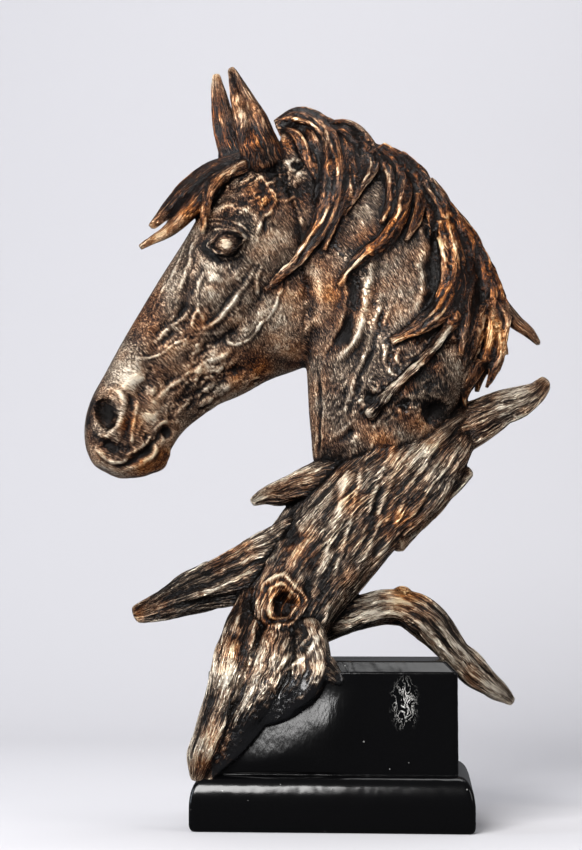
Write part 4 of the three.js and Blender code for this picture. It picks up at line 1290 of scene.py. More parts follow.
def line_on_cast(path):
    """A row of image places as close-set points and normals on the casting."""
    path = np.array(path, float)
    reach = length_along(path)[-1]
    padded = np.column_stack([path, np.zeros(len(path))])
    places = spline(padded, np.linspace(0, 1, max(4, int(reach / 1.6))))
    hits = [found for found in map(on_cast, places[:, :2]) if found]
    return np.array([h[0] for h in hits]).reshape(-1, 3), np.array([h[1] for h in hits]).reshape(-1, 3)


def mirrored(points, normals, through_head):
    """The same line on the far side, through the middle plane of the head or of the neck."""
    flip = np.array([1, -1, 1])
    if through_head:
        return to_head(from_head(points) * flip), ((normals @ TURN) * flip) @ TURN.T
    return points * flip, normals * flip


def near_line(points, normals, reach):
    """The casting's points near a line that face as it does: numbers, distances and shares along the line."""
    low, high = points.min(axis=0) - reach, points.max(axis=0) + reach
    near = np.flatnonzero(np.all((cast_points > low) & (cast_points < high), axis=1))
    away = np.linalg.norm(wandered[near, None] - points[None], axis=2)
    closest = away.argmin(axis=1)
    faces_same_way = np.sum(cast_normals[near] * normals[closest], axis=1) > 0.1
    keep = (away[np.arange(len(near)), closest] < reach) & faces_same_way
    return near[keep], away[np.arange(len(near)), closest][keep], closest[keep] / max(1, len(points) - 1)


lift = np.zeros(len(cast_points))
gold = np.zeros(len(cast_points))
MOAT = 0.3
CREST_POWER = 1.25
WANDER, WANDER_CELL = 0.9, 7.0
wander = WANDER * np.stack([noise(cast_points / WANDER_CELL + 31 * k) for k in range(3)], axis=1)
wandered = cast_points + wander
luck = noise(cast_points / 9 + 57)
fine_luck = noise(cast_points / 3.2 + 91)


def carve(line, points, normals, closed=False, depth=1.0, shine=1.0):
    """Adds one line of relief to the lift and to the gold."""
    half, height = line["half"], line["height"] * depth
    near, away, share = near_line(points, normals, half * 3.4)
    taper = 1 if closed else np.clip(np.sin(np.pi * (0.06 + 0.88 * share)) * 1.8, 0, 1)
    taper = taper * np.clip(0.85 + 0.8 * luck[near], 0.1, 1.5)
    half = half * (1 + 0.35 * luck[near])
    core = np.exp(-((away / half) ** CREST_POWER))
    moat = np.exp(-(((away - 2 * half) / (0.8 * half)) ** 2))
    np.add.at(lift, near, height * taper * (core - MOAT * moat))
    wax = line["gold"] * (shine if line["gold"] > 0 else 1) * taper * core
    gold[near] = np.where(np.abs(wax) > np.abs(gold[near]), wax, gold[near])


def carve_all(lines, far=None, depth=1.0, shine=1.0):
    missed = 0
    for line in lines:
        points, normals = line_on_cast(line["path"])
        if len(points) < 3:
            missed += 1
            continue
        closed = line["path"][0] == line["path"][-1]
        carve(line, points, normals, closed, depth, shine)
        if far:
            carve(line, *mirrored(points, normals, far == "head"), closed, depth, shine)
    return missed


missed = [
    carve_all(HEAD_LINES, far="head", depth=0.75, shine=0.4),
    carve_all(EYE_LINES + MUZZLE_LINES + BROAD_HEAD, far="head", depth=0.85, shine=0.6),
    carve_all(NECK_LINES, far="neck", depth=0.8, shine=0.35),
    carve_all(MANE_LINES, depth=0.85, shine=1.2),
    carve_all(WOOD_LINES, depth=0.6, shine=0.7),
]
for pocket in POCKETS:
    found = on_cast(pocket["place"])
    if found is None:
        continue
    near, away, _ = near_line(found[0][None], found[1][None], pocket["radius"] * 1.5)
    ragged = pocket["radius"] * (1.1 + 0.3 * luck[near] + 0.15 * fine_luck[near])
    bowl = np.clip(1 - (away / np.maximum(ragged, 0.5)) ** 2, 0, 1) ** 1.5
    lift[near] -= pocket["depth"] * bowl
    gold[near] = np.minimum(gold[near], -0.9 * bowl)
flow, kind = nearest_flow(cast_points, pieces)
long_folds = grooves((flow + 2 * wander) * (1 / 4.5, 1 / 13, 1 / 8))
folds = 0.8 * long_folds + 0.45 * grooves((cast_points + 2 * wander) / (9, 9, 5))
for place, radius, strength in CRUMPLES:
    lift += strength * np.exp(-(radii_from(place, radius, cast_points) ** 3)) * folds * (kind != HAIR)
print("lines missed:", missed, "lift from", lift.min().round(1), "to", lift.max().round(1), "mm")

# %% [markdown]
# The foot of the casting dips into the plinth's black lacquer, which fills its grain. Its border is drawn
# on the image like the lines of relief, and noise makes it ragged.

# %% The lacquered foot
# Below this line of image places the foot of the casting is lacquered black with the plinth.
LACQUER_EDGE = [
    (212, 782), (222, 770), (236, 748), (252, 728), (272, 711), (300, 703), (330, 690), (352, 672),
]


def image_place(points):
    """Where points in millimetres fall in the photograph."""
    seen = (points - np.array(CAMERA_PLACE) / MM) @ np.array(VIEW)
    across = IMAGE_WIDTH / 2 - FOCAL_PIXELS * seen[:, 0] / seen[:, 2]
    return across, IMAGE_HEIGHT / 2 + FOCAL_PIXELS * seen[:, 1] / seen[:, 2]


def lacquer_mask(fade=26):
    """One where the casting dips into the black lacquer of the plinth, with a ragged edge."""
    across, down = image_place(cast_points)
    edge = np.interp(across, *np.array(LACQUER_EDGE, float).T, left=900, right=900)
    ragged = 14 * noise(cast_points / 6) + 12 * noise(cast_points / 2)
    near_front = cast_points[:, 1] < -25
    return near_front * np.clip((down + ragged - edge) / fade + 1, 0, 1)


lacquer = lacquer_mask()
print("lacquered points:", int((lacquer > 0.5).sum()))

# %% [markdown]
# The coat is short hair, cut as small overlapping dashes. It comes from stretched noise along the flow, as
# do the strands of the mane and the fibres of the wood. First the flow is evened out, because each point
# took it from the nearest point of a form. The same flow goes on the mesh as an attribute, because the
# finish continues the dashes at a scale too fine for points.

# %% The lie of coat, hair and bark
FLOW_PASSES, FLOW_SHARE = 10, 0.125
# A bigger step in the flow than this, in millimetres, is the border between two forms.
FLOW_BORDER = 2.5
COAT_DEPTH, HAIR_DEPTH, FIBRE_DEPTH = 0.08, 0.25, 0.18

same = kind[edges[:, 0]] == kind[edges[:, 1]]
for _ in range(FLOW_PASSES):
    drift = flow[edges[:, 1]] - flow[edges[:, 0]]
    close = same & (np.linalg.norm(drift, axis=1) < FLOW_BORDER)
    pull = np.zeros_like(flow)
    for column in range(3):
        pull[:, column] += np.bincount(edges[close, 0], drift[close, column], len(flow))
        pull[:, column] -= np.bincount(edges[close, 1], drift[close, column], len(flow))
    flow += pull * FLOW_SHARE
skin = (kind == SKIN).astype(float)
bent = flow + 0.8 * wander
coat = grooves(bent * (1 / 7, 1 / 2.2, 1 / 2.2) + 3)
hair = grooves(bent * (1 / 10, 1 / 2.4, 1 / 2.4))
wooden = (kind == WOOD).astype(float)
fibres = FIBRE_DEPTH * grooves(bent * (1 / 12, 1 / 3.8, 1 / 3.8))
fibres += FIBRE_DEPTH * grooves(bent * (1 / 10, 1 / 1.9, 1 / 1.9) + 7)
fibres *= np.clip(0.9 + 0.8 * luck, 0.2, 1.6)
lift += skin * COAT_DEPTH * coat + (kind == HAIR) * HAIR_DEPTH * hair + wooden * fibres
lift *= 1 - 0.8 * lacquer
carved = cast_points + cast_normals * lift[:, None]
low, high = (np.array(corner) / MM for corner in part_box("horse_and_driftwood"))
carved = smoothed(carved, edges, 1, share=0.3)
carved = np.clip(carved, low + 0.1, high - 0.1)
set_points(casting.data, carved)
print("coat points:", int(skin.sum()), "wood points:", int(wooden.sum()))

# %% [markdown]
# ## Where the metal wax catches
#
# Wax rubbed over a casting stays on what stands proud. How proud a spot is comes from comparing the surface
# with smoothed copies of itself: a light smoothing shows the fine ridges, a heavy one shows the big forms.

# %% Relief map
FINE_PASSES, BROAD_PASSES, WIDE_PASSES = 5, 50, 90
final_normals = normals_of(casting.data)


def standing_proud(passes, share=0.5):
    """How far the surface stands out of its copy smoothed so many times, in millimetres."""
    return np.sum((carved - smoothed(carved, edges, passes, share)) * final_normals, axis=1)


fine = standing_proud(FINE_PASSES)
broad = standing_proud(BROAD_PASSES)
wide = standing_proud(WIDE_PASSES, share=0.95)
hairy = kind == HAIR
proud = 0.5 + 0.22 * np.tanh(fine / np.where(hairy, 0.5, 0.34))
proud += 0.24 * np.tanh(broad / np.where(hairy, 1.5, 1.0)) + 0.08 * np.tanh(wide / 2)
crisp = np.clip((fine - 0.16) / 0.35, 0, 1)
for name, values in dict(fine=fine, broad=broad, wide=wide, proud=proud, crisp=crisp).items():
    print(name, np.percentile(values, (5, 25, 50, 75, 95)).round(2))

# %% [markdown]
# Some places hold more gold than their height explains, because a hand rubbed them harder: the ears, the
# nostril, the broad lock. The bright spot on the eye ball is a painted highlight. Other places went redder,
# to copper. Dark spots are partly darker paint and partly painted shade: under the left branch, on the
# lower right of the trunk, under the eye lids, in the corner of the eye and inside the nostril. All are
# marked as soft spots on the image.

# %% Hand-rubbed spots, painted highlight and painted shade
# Each spot: image place, radius in pixels, strength.
# Rubbed gold; the small strong spot on the eye ball is a painted highlight.
GOLD_AND_HIGHLIGHT_SPOTS = [
    ((485, 330), 22, 1.8), ((450, 325), 18, 0.6), ((368, 290), 12, 0.6), ((362, 325), 10, 0.5),
    ((238, 100), 9, 2.0), ((241, 114), 9, 2.4), ((247, 122), 8, 1.8), ((240, 105), 24, 1.2),
    ((256, 124), 11, 0.6), ((217, 92), 10, 0.7), ((223, 118), 9, 0.9), ((226, 244), 6, 3.2),
    ((425, 455), 26, 1.2), ((133, 380), 13, 1.4), ((147, 417), 12, 1.5), ((160, 397), 12, 1.2),
    ((185, 372), 10, 0.7), ((212, 355), 9, 0.7), ((300, 290), 32, 0.45), ((268, 345), 14, 0.5),
    ((408, 270), 24, 0.4), ((215, 290), 16, 0.4), ((120, 394), 6, 0.8), ((443, 225), 13, 0.7),
    ((447, 245), 12, 1.0), ((452, 262), 9, 0.7), ((437, 452), 15, 1.0), ((343, 520), 16, 0.7),
    ((334, 545), 13, 0.5), ((232, 676), 16, 0.9), ((226, 655), 12, 0.6), ((207, 742), 13, 0.7),
    ((372, 610), 17, 0.9), ((396, 600), 15, 0.9), ((240, 545), 12, 0.3), ((478, 655), 14, 0.6),
    ((520, 395), 14, 0.4), ((300, 660), 12, 0.5), ((205, 366), 9, 0.7), ((150, 425), 16, 0.4),
    ((185, 222), 12, 0.5), ((160, 235), 12, 0.6), ((268, 348), 14, 0.4), ((410, 290), 22, 0.3),
]
COPPER_SPOTS = [
    ((226, 243), 10, 0.4), ((545, 385), 10, 0.6), ((540, 395), 12, 0.4), ((145, 318), 26, 0.5),
    ((430, 360), 10, 0.9), ((405, 385), 10, 0.9), ((200, 770), 12, 0.6), ((137, 612), 10, 0.6),
    ((478, 240), 20, 0.8), ((503, 290), 18, 0.8), ((465, 205), 18, 0.8), ((395, 150), 18, 0.7),
    ((345, 130), 16, 0.6), ((282, 602), 26, 0.7), ((215, 115), 14, 0.6), ((255, 140), 12, 0.5),
    ((225, 560), 20, 0.5), ((400, 520), 20, 0.6), ((425, 425), 18, 0.7), ((382, 445), 14, 0.6),
    ((225, 135), 12, 0.6), ((284, 143), 13, 1.0), ((262, 367), 16, 1.0), ((235, 376), 12, 0.8),
    ((300, 362), 14, 0.7), ((165, 458), 14, 1.0), ((145, 470), 14, 0.9), ((126, 425), 9, 0.9),
    ((196, 320), 14, 0.6), ((325, 300), 24, 0.4), ((268, 200), 15, 0.7), ((445, 300), 20, 0.6),
    ((452, 225), 20, 0.6), ((490, 270), 26, 0.5), ((350, 140), 18, 0.4), ((300, 130), 20, 0.5),
    ((410, 165), 14, 0.6), ((375, 240), 14, 0.6), ((430, 425), 16, 0.6), ((352, 500), 16, 0.6),
    ((300, 600), 9, 0.8), ((270, 618), 8, 0.8), ((410, 590), 22, 1.0), ((300, 555), 20, 0.5),
    ((190, 210), 16, 0.5), ((420, 345), 18, 0.5), ((495, 335), 20, 0.6), ((512, 690), 10, 0.7),
    ((230, 650), 18, 0.4),
]
# Darker paint, and painted shade: under the left branch, on the lower right of the trunk, under the eye lids,
# in the corner of the eye and inside the nostril.
DARK_PAINT_AND_SHADE_SPOTS = [
    ((92, 405), 9, 1.5), ((89, 420), 9, 1.6), ((95, 436), 9, 1.3), ((107, 413), 11, 1.6),
    ((204, 180), 8, 0.7), ((203, 200), 8, 0.7), ((203, 222), 8, 0.7), ((425, 403), 26, 1.2),
    ((395, 400), 14, 0.8), ((382, 407), 8, 0.6), ((545, 385), 9, 0.9), ((351, 300), 10, 1.2),
    ((343, 335), 10, 1.0), ((385, 325), 8, 0.6), ((330, 360), 12, 0.6), ((150, 305), 24, 0.5),
    ((135, 335), 20, 0.5), ((160, 600), 34, 0.7), ((215, 578), 26, 0.5), ((228, 220), 11, 0.9),
    ((246, 230), 8, 0.8), ((211, 228), 8, 0.8), ((238, 257), 8, 0.6), ((250, 190), 20, 0.4),
    ((200, 772), 12, 1.0), ((512, 697), 8, 0.8), ((135, 612), 9, 1.0), ((190, 188), 16, 0.6),
    ((207, 168), 14, 0.6), ((170, 205), 12, 0.4), ((200, 700), 16, 0.4), ((150, 608), 14, 0.4),
    ((260, 606), 8, 0.3), ((206, 247), 9, 1.0), ((212, 258), 7, 0.7), ((241, 243), 5, 0.7),
    ((226, 229), 6, 0.5), ((286, 178), 16, 0.8), ((312, 185), 12, 0.8), ((262, 222), 12, 0.5),
    ((108, 412), 10, 1.0), ((96, 402), 6, 0.6), ((91, 418), 6, 0.6), ((97, 434), 6, 0.6),
    ((112, 446), 9, 0.8), ((168, 430), 8, 0.8), ((128, 455), 9, 0.6), ((150, 470), 15, 0.5),
    ((130, 477), 12, 0.5), ((150, 436), 8, 0.5), ((252, 362), 12, 0.6), ((352, 300), 14, 0.7),
    ((433, 235), 8, 0.8), ((433, 265), 8, 0.8), ((430, 300), 9, 0.7), ((440, 413), 16, 0.9),
    ((376, 400), 10, 0.8), ((328, 150), 12, 0.4), ((300, 235), 12, 0.4), ((290, 532), 18, 0.6),
    ((262, 565), 16, 0.6), ((318, 585), 12, 0.6), ((235, 605), 18, 0.6), ((370, 575), 18, 0.5),
    ((420, 625), 12, 0.4), ((450, 668), 14, 0.6), ((212, 700), 14, 0.5), ((240, 640), 10, 0.6),
    ((290, 498), 18, 0.6), ((330, 455), 14, 0.5), ((470, 395), 12, 0.6), ((330, 345), 20, 0.5),
    ((342, 400), 20, 0.35), ((225, 566), 22, 0.6), ((318, 150), 26, 0.3),
]
# Painted with a brush and not rubbed, so that the height of a spot counts for little.
PAINTED_SPOTS = [
    ((240, 105), 24, 1.0), ((217, 95), 14, 0.6), ((226, 245), 15, 1.0), ((106, 412), 24, 0.9),
    ((125, 392), 10, 0.5), ((436, 413), 16, 1.0), ((404, 404), 8, 1.0), ((376, 402), 8, 1.0),
    ((228, 222), 12, 0.7), ((282, 602), 9, 1.0), ((430, 358), 9, 0.8), ((413, 375), 9, 0.8),
    ((396, 393), 9, 0.8), ((382, 407), 9, 0.8),
]


def spots(marks):
    """A soft mask on the casting from a list of marked image places."""
    mask = np.zeros(len(carved))
    for place, radius, strength in marks:
        mask = np.maximum(mask, strength * np.exp(-(radii_from(place, radius, carved) ** 2)))
    return mask


# Rubbed gold less dark paint; this also carries the eye's painted highlight and the dark spots' painted
# shade.
gold_and_painted_light_spots = spots(GOLD_AND_HIGHLIGHT_SPOTS) - spots(DARK_PAINT_AND_SHADE_SPOTS)
copper_spots = spots(COPPER_SPOTS)
painted = np.clip(spots(PAINTED_SPOTS) * 1.3, 0, 1)
proud += (0.5 - proud) * painted * 0.8
crisp *= 1 - painted * 0.9
print("gold spots cover", int((gold_and_painted_light_spots > 0.3).sum()), "points")

# %% [markdown]
# ## Keeping the count down
#
# The carved skin has several hundred thousand points. A collapse decimation removes points where the
# surface is flattest, so ridges keep theirs. The side that faces away may lose more, because it is cast
# plainer.

# %% Store the maps and thin the mesh
TRIANGLE_BUDGET = 196000


def store(mesh, name, values):
    vector_like = values.ndim == 2
    kind_name, slot = ("FLOAT_VECTOR", "vector") if vector_like else ("FLOAT", "value")
    mesh.attributes.new(name, kind_name, "POINT").data.foreach_set(slot, values.astype(np.float32).ravel())


def thin(made, triangles):
    """Collapses edges down to a number of triangles, with the near side spared."""
    near_side = made.vertex_groups.new(name="near side")
    faces_near = np.clip(0.6 - 0.5 * final_normals[:, 1] - 0.003 * carved[:, 1], 0.2, 0.88)
    for level in range(1, 11):
        chosen = np.flatnonzero(np.ceil(faces_near * 10) == level)
        near_side.add(chosen.tolist(), level / 10, "REPLACE")
    collapse = made.modifiers.new("thin", "DECIMATE")
    collapse.ratio = min(1, triangles / (2 * len(made.data.polygons)))
    collapse.vertex_group = near_side.name
    collapse.invert_vertex_group = True
    collapse.use_collapse_triangulate = True
    return plain_copy(made, made.name)


# One map holds the spots: rubbed gold and dark paint, with painted highlight and painted shade among them.
maps = dict(flow=bent, proud=proud, crisp=crisp, gold=gold, rubbed_gold_and_painted_light=gold_and_painted_light_spots, copper=copper_spots)
maps.update(lacquer=lacquer, wood=wooden)
maps.update(hair=(kind == HAIR).astype(float), smooth=(kind == SMOOTH).astype(float))
for name, values in maps.items():
    store(casting.data, name, values)
casting = thin(casting, TRIANGLE_BUDGET)
casting.data.polygons.foreach_set("use_smooth", [True] * len(casting.data.polygons))
print("casting:", len(casting.data.polygons), "triangles")

# %% [markdown]
# ## The plinth
#
# The stand is a block on a moulded foot. It is a stack of rounded rectangles, each a little further in or
# out than the last, worked out from arcs. Its left front corner swells where the roots of the casting run
# down over it, under the same black lacquer, and the lacquer has pooled there in soft waves.

# %% Plinth profile
FOOT_ROUND = 4.0
OVOLO_BOTTOM, OVOLO_TOP = 13.0, 29.0
BLOCK_WIDTH, BLOCK_DEPTH = 132.0, 96.0
CHAMFER = 6.0
CORNER = 2.5
plinth_low, plinth_high = (np.array(corner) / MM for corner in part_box("plinth"))
HALF_WIDTH, HALF_DEPTH, TOP = plinth_high[0], plinth_high[1], plinth_high[2]


def plinth_levels():
    """Height, inset across and inset in depth of each level, from the underside to the top."""
    step = np.array([HALF_WIDTH - BLOCK_WIDTH / 2, HALF_DEPTH - BLOCK_DEPTH / 2])
    levels = []
    for angle in np.linspace(0, np.pi / 2, 7):
        inward = FOOT_ROUND * (1 - math.sin(angle)) * 0.6
        levels.append((FOOT_ROUND * (1 - math.cos(angle)), inward, inward))
    for angle in np.linspace(0, np.pi / 2, 16):
        height = OVOLO_BOTTOM + (OVOLO_TOP - OVOLO_BOTTOM) * math.sin(angle)
        levels.append((height, *(step * (1 - math.cos(angle)))))
    levels.append((OVOLO_TOP + 0.35, *(step + 0.25)))
    for height in np.linspace(OVOLO_TOP + 1.2, TOP - CHAMFER - 0.8, 44):
        levels.append((height, *(step + 0.02)))
    for share in (0, 0.12, 0.5, 0.88, 0.97):
        levels.append((TOP - CHAMFER * (1 - share), *(step + 0.05 + CHAMFER * share)))
    for share in (0.6, 1.3, 3, 8, 16, 26, 36, 44):
        levels.append((TOP - 0.02, *(step + CHAMFER + share)))
    return levels


def rounded_rectangle(half, corner, count):
    """Points round a rectangle with round corners, evenly spaced, from the middle of its right side."""
    corner = min(corner, half[0] * 0.98, half[1] * 0.98)
    arcs = []
    for sx, sy, start in ((1, 1, 0), (-1, 1, 90), (-1, -1, 180), (1, -1, 270)):
        for angle in np.radians(np.linspace(start, start + 90, 9)):
            x = sx * (half[0] - corner) + corner * math.cos(angle)
            arcs.append((x, sy * (half[1] - corner) + corner * math.sin(angle)))
    path = np.array([(half[0], 0), *arcs, (half[0], 0)])
    run = length_along(path)
    places = np.linspace(0, run[-1], count, endpoint=False)
    return np.column_stack([np.interp(places, run, path[:, 0]), np.interp(places, run, path[:, 1])])


print("plinth levels:", len(plinth_levels()))

# %% Plinth mesh
# Where the roots hide the front, the block is inset: from this far below its top, and left of this line.
HIDDEN = dict(inset=5.0, low=TOP - 34, high=TOP - 4, left=-32, right=4)
POOL_RISE, POOL_FADE = 12, 30
SWELL = dict(
    reach=5.0,
    left=-66,
    left_fade=42,
    right=18,
    right_fade=22,
    bottom=24,
    belly=36,
    belly_rise=16,
    slope=24,
)


def plinth_points(count=420):
    levels = plinth_levels()
    rings = []
    for height, across, deep in levels:
        half = (HALF_WIDTH - across, HALF_DEPTH - deep)
        ring = rounded_rectangle(half, CORNER, count)
        rings.append(np.column_stack([ring, np.full(count, height)]))
    grid = np.array(rings)
    return np.concatenate([grid[:1] * (0, 0, 1), grid, grid[-1:] * (0, 0, 1)])


def ramp(value, start, end):
    share = np.clip((value - start) / (end - start), 0, 1)
    return share * share * (3 - 2 * share)


def lacquer_swell(grid):
    """Pushes the front left of the block out, in waves that die away downwards."""
    x, y, z = grid[..., 0], grid[..., 1], grid[..., 2]
    front = (y < -BLOCK_DEPTH / 2 + 1) & (z > OVOLO_TOP + 0.5)
    sideways = ramp(x, SWELL["left"], SWELL["left"] + SWELL["left_fade"])
    sideways = sideways * (1 - ramp(x, SWELL["right"] - SWELL["right_fade"], SWELL["right"]))
    belly = SWELL["belly"] + SWELL["belly_rise"] * ramp(x, -45, 5)
    upward = ramp(z, SWELL["bottom"], belly) * (1 - ramp(z, belly, belly + SWELL["slope"]))
    lumps = 0.9 + 0.12 * noise(grid / 16)
    grid = grid.copy()
    grid[..., 1] -= front * SWELL["reach"] * sideways * upward * lumps
    return grid


def pooled(points):
    """Where the lacquer lies thick and uneven, below the roots: 1 there, 0 elsewhere."""
    x, y, z = points[:, 0], points[:, 1], points[:, 2]
    front = (y < -BLOCK_DEPTH / 4) & (z > OVOLO_TOP + 0.5)
    upward = ramp(z, OVOLO_TOP, OVOLO_TOP + POOL_RISE)
    return front * upward * (1 - ramp(x, SWELL["right"] - POOL_FADE, SWELL["right"]))


def plinth_mesh():
    grid = lacquer_swell(plinth_points())
    ripple = 0.12 * noise(grid / 11) + 0.05 * noise(grid / 4)
    grid[..., 2] += ripple * (grid[..., 2] > OVOLO_TOP) * (grid[..., 2] < TOP - 1) * 0.5
    grid[..., 0] -= np.sign(grid[..., 0]) * np.abs(ripple) * (np.abs(grid[..., 0]) > 20)
    grid[..., 1] -= np.sign(grid[..., 1]) * np.abs(ripple) * (np.abs(grid[..., 1]) > 20)
    under_roots = ramp(grid[..., 2], HIDDEN["low"], HIDDEN["high"])
    under_roots = under_roots * (1 - ramp(grid[..., 0], HIDDEN["left"], HIDDEN["right"]))
    grid[..., 1] += HIDDEN["inset"] * under_roots * (grid[..., 1] < -BLOCK_DEPTH / 4)
    grid = np.clip(grid, plinth_low + 0.01, plinth_high - 0.01)
    form = closed_grid(grid, grid, SMOOTH)
    made = mesh_object("moulded_plinth", form.points, form.faces)
    made.data.polygons.foreach_set("use_smooth", [True] * len(made.data.polygons))
    store(made.data, "pooled", pooled(form.points))
    return made


plinth = plinth_mesh()
print("plinth:", len(plinth.data.polygons), "faces")

# %% [markdown]
# ## Shared effects
#
# Both finishes need a fine uneven surface, and the lacquer also needs tiny bright specks where dust sits in
# the paint. One node group makes them, with its sizes as inputs, and each material uses it with its own
# values.

# %% Fine unevenness group
def cloud(tree, at, scale, detail, **others):
    """Noise from 0 to 1 at so many cells a metre."""
    inputs = {"Vector": at, "Scale": scale, "Detail": detail, **others}
    return node(tree, "ShaderNodeTexNoise", inputs).outputs["Fac"]


def effect_group():
    tree = bpy.data.node_groups.new("fine unevenness", "ShaderNodeTree")
    sizes = [("Grain size", "Float", 900), ("Speck size", "Float", 420), ("Speck share", "Float", 0.1)]
    add_sockets(tree, "INPUT", [("Place", "Vector"), *sizes])
    add_sockets(tree, "OUTPUT", [("Grain", "Float"), ("Specks", "Float")])
    group = node(tree, "NodeGroupInput").outputs
    grain = cloud(tree, group["Place"], group["Grain size"], 4.0, Roughness=0.65)
    cells = node(tree, "ShaderNodeTexVoronoi", {"Vector": group["Place"], "Scale": group["Speck size"]})
    near_middle = sums(tree, "LESS_THAN", cells.outputs["Distance"], 0.13)
    lucky = node(tree, "ShaderNodeSeparateColor", {"Color": cells.outputs["Color"]}).outputs["Red"]
    chosen = sums(tree, "LESS_THAN", lucky, group["Speck share"])
    specks = sums(tree, "MULTIPLY", near_middle, chosen)
    node(tree, "NodeGroupOutput", {"Grain": grain, "Specks": specks})
    return tree


unevenness = effect_group()


def rescaled(tree, value, low, high, to_low=0.0, to_high=1.0):
    """A value from low to high as one from to_low to to_high, and no further."""
    inputs = {"Value": value, "From Min": low, "From Max": high, "To Min": to_low, "To Max": to_high}
    return node(tree, "ShaderNodeMapRange", inputs).outputs["Result"]


def attribute(tree, name, out="Fac"):
    return node(tree, "ShaderNodeAttribute", attribute_name=name).outputs[out]


def weighted(tree, name, strength):
    """A map of the mesh times a strength."""
    return sums(tree, "MULTIPLY", attribute(tree, name), strength)


def colour_ramp(tree, factor, stops):
    made = node(tree, "ShaderNodeValToRGB", {"Fac": factor})
    marks = made.color_ramp.elements
    while len(marks) < len(stops):
        marks.new(0.5)
    for mark, (position, colour) in zip(marks, stops):
        mark.position = position
        mark.color = (*colour, 1)
    return made.outputs["Color"]


def blend_colours(tree, factor, first, second):
    made = node(tree, "ShaderNodeMix", data_type="RGBA")
    for socket, value in ((0, factor), (6, first), (7, second)):
        if isinstance(value, bpy.types.NodeSocket):
            tree.links.new(value, made.inputs[socket])
        else:
            made.inputs[socket].default_value = value
    return made.outputs[2]


print("effect group:", len(unevenness.nodes), "nodes")

# %% [markdown]
# ## Aged bronze
#
# The finish asks one question of every spot: how much wax sits here? The answer adds up how proud the spot
# is, the stroke of hair or grain it lies on, whether a ridge, a hand-rubbed spot or a spot of painted
# highlight or painted shade is there, and some luck.
# Places painted with a brush hardly follow their height. The wood also gets wandering threads of pale wax.
# Two colour ramps then go from black-brown to cream, one through grey-brown and one through copper, and a
# slow noise and the copper spots choose between them. The fine strokes also make the bump.

# %% Bronze material
def strokes_along_flow(tree, size, detail):
    """Noise stretched along the flow, so that it draws hair on the coat and grain on the wood."""
    stretched = vector(tree, "MULTIPLY", attribute(tree, "flow", "Vector"), size)
    return cloud(tree, stretched, 1.0, detail, Roughness=0.6)


def centred(tree, value, strength):
    return sums(tree, "MULTIPLY", sums(tree, "SUBTRACT", value, 0.5), strength)


def added(tree, *values):
    total = values[0]
    for value in values[1:]:
        total = sums(tree, "ADD", total, value)
    return total


# What each map of the mesh adds to the wax.
# The spots add wax for rubbed gold and the eye's painted highlight, and take it away for dark paint and
# painted shade.
WAX_FROM = dict(crisp=0.14, gold=0.2, rubbed_gold_and_painted_light=0.24, hair=-0.21, smooth=-0.22, wood=-0.03, lacquer=-0.5)
GOLDEN = [
    (0.34, (0.003, 0.0023, 0.002)),
    (0.47, (0.02, 0.013, 0.0095)),
    (0.58, (0.12, 0.083, 0.059)),
    (0.70, (0.30, 0.23, 0.165)),
    (0.92, (0.84, 0.76, 0.63)),
]
COPPERY = [
    (0.30, (0.004, 0.002, 0.0015)),
    (0.45, (0.032, 0.01, 0.004)),
    (0.56, (0.17, 0.052, 0.013)),
    (0.70, (0.46, 0.18, 0.05)),
    (0.90, (0.90, 0.66, 0.36)),
]
LACQUERED = (0.004, 0.004, 0.0045, 1)


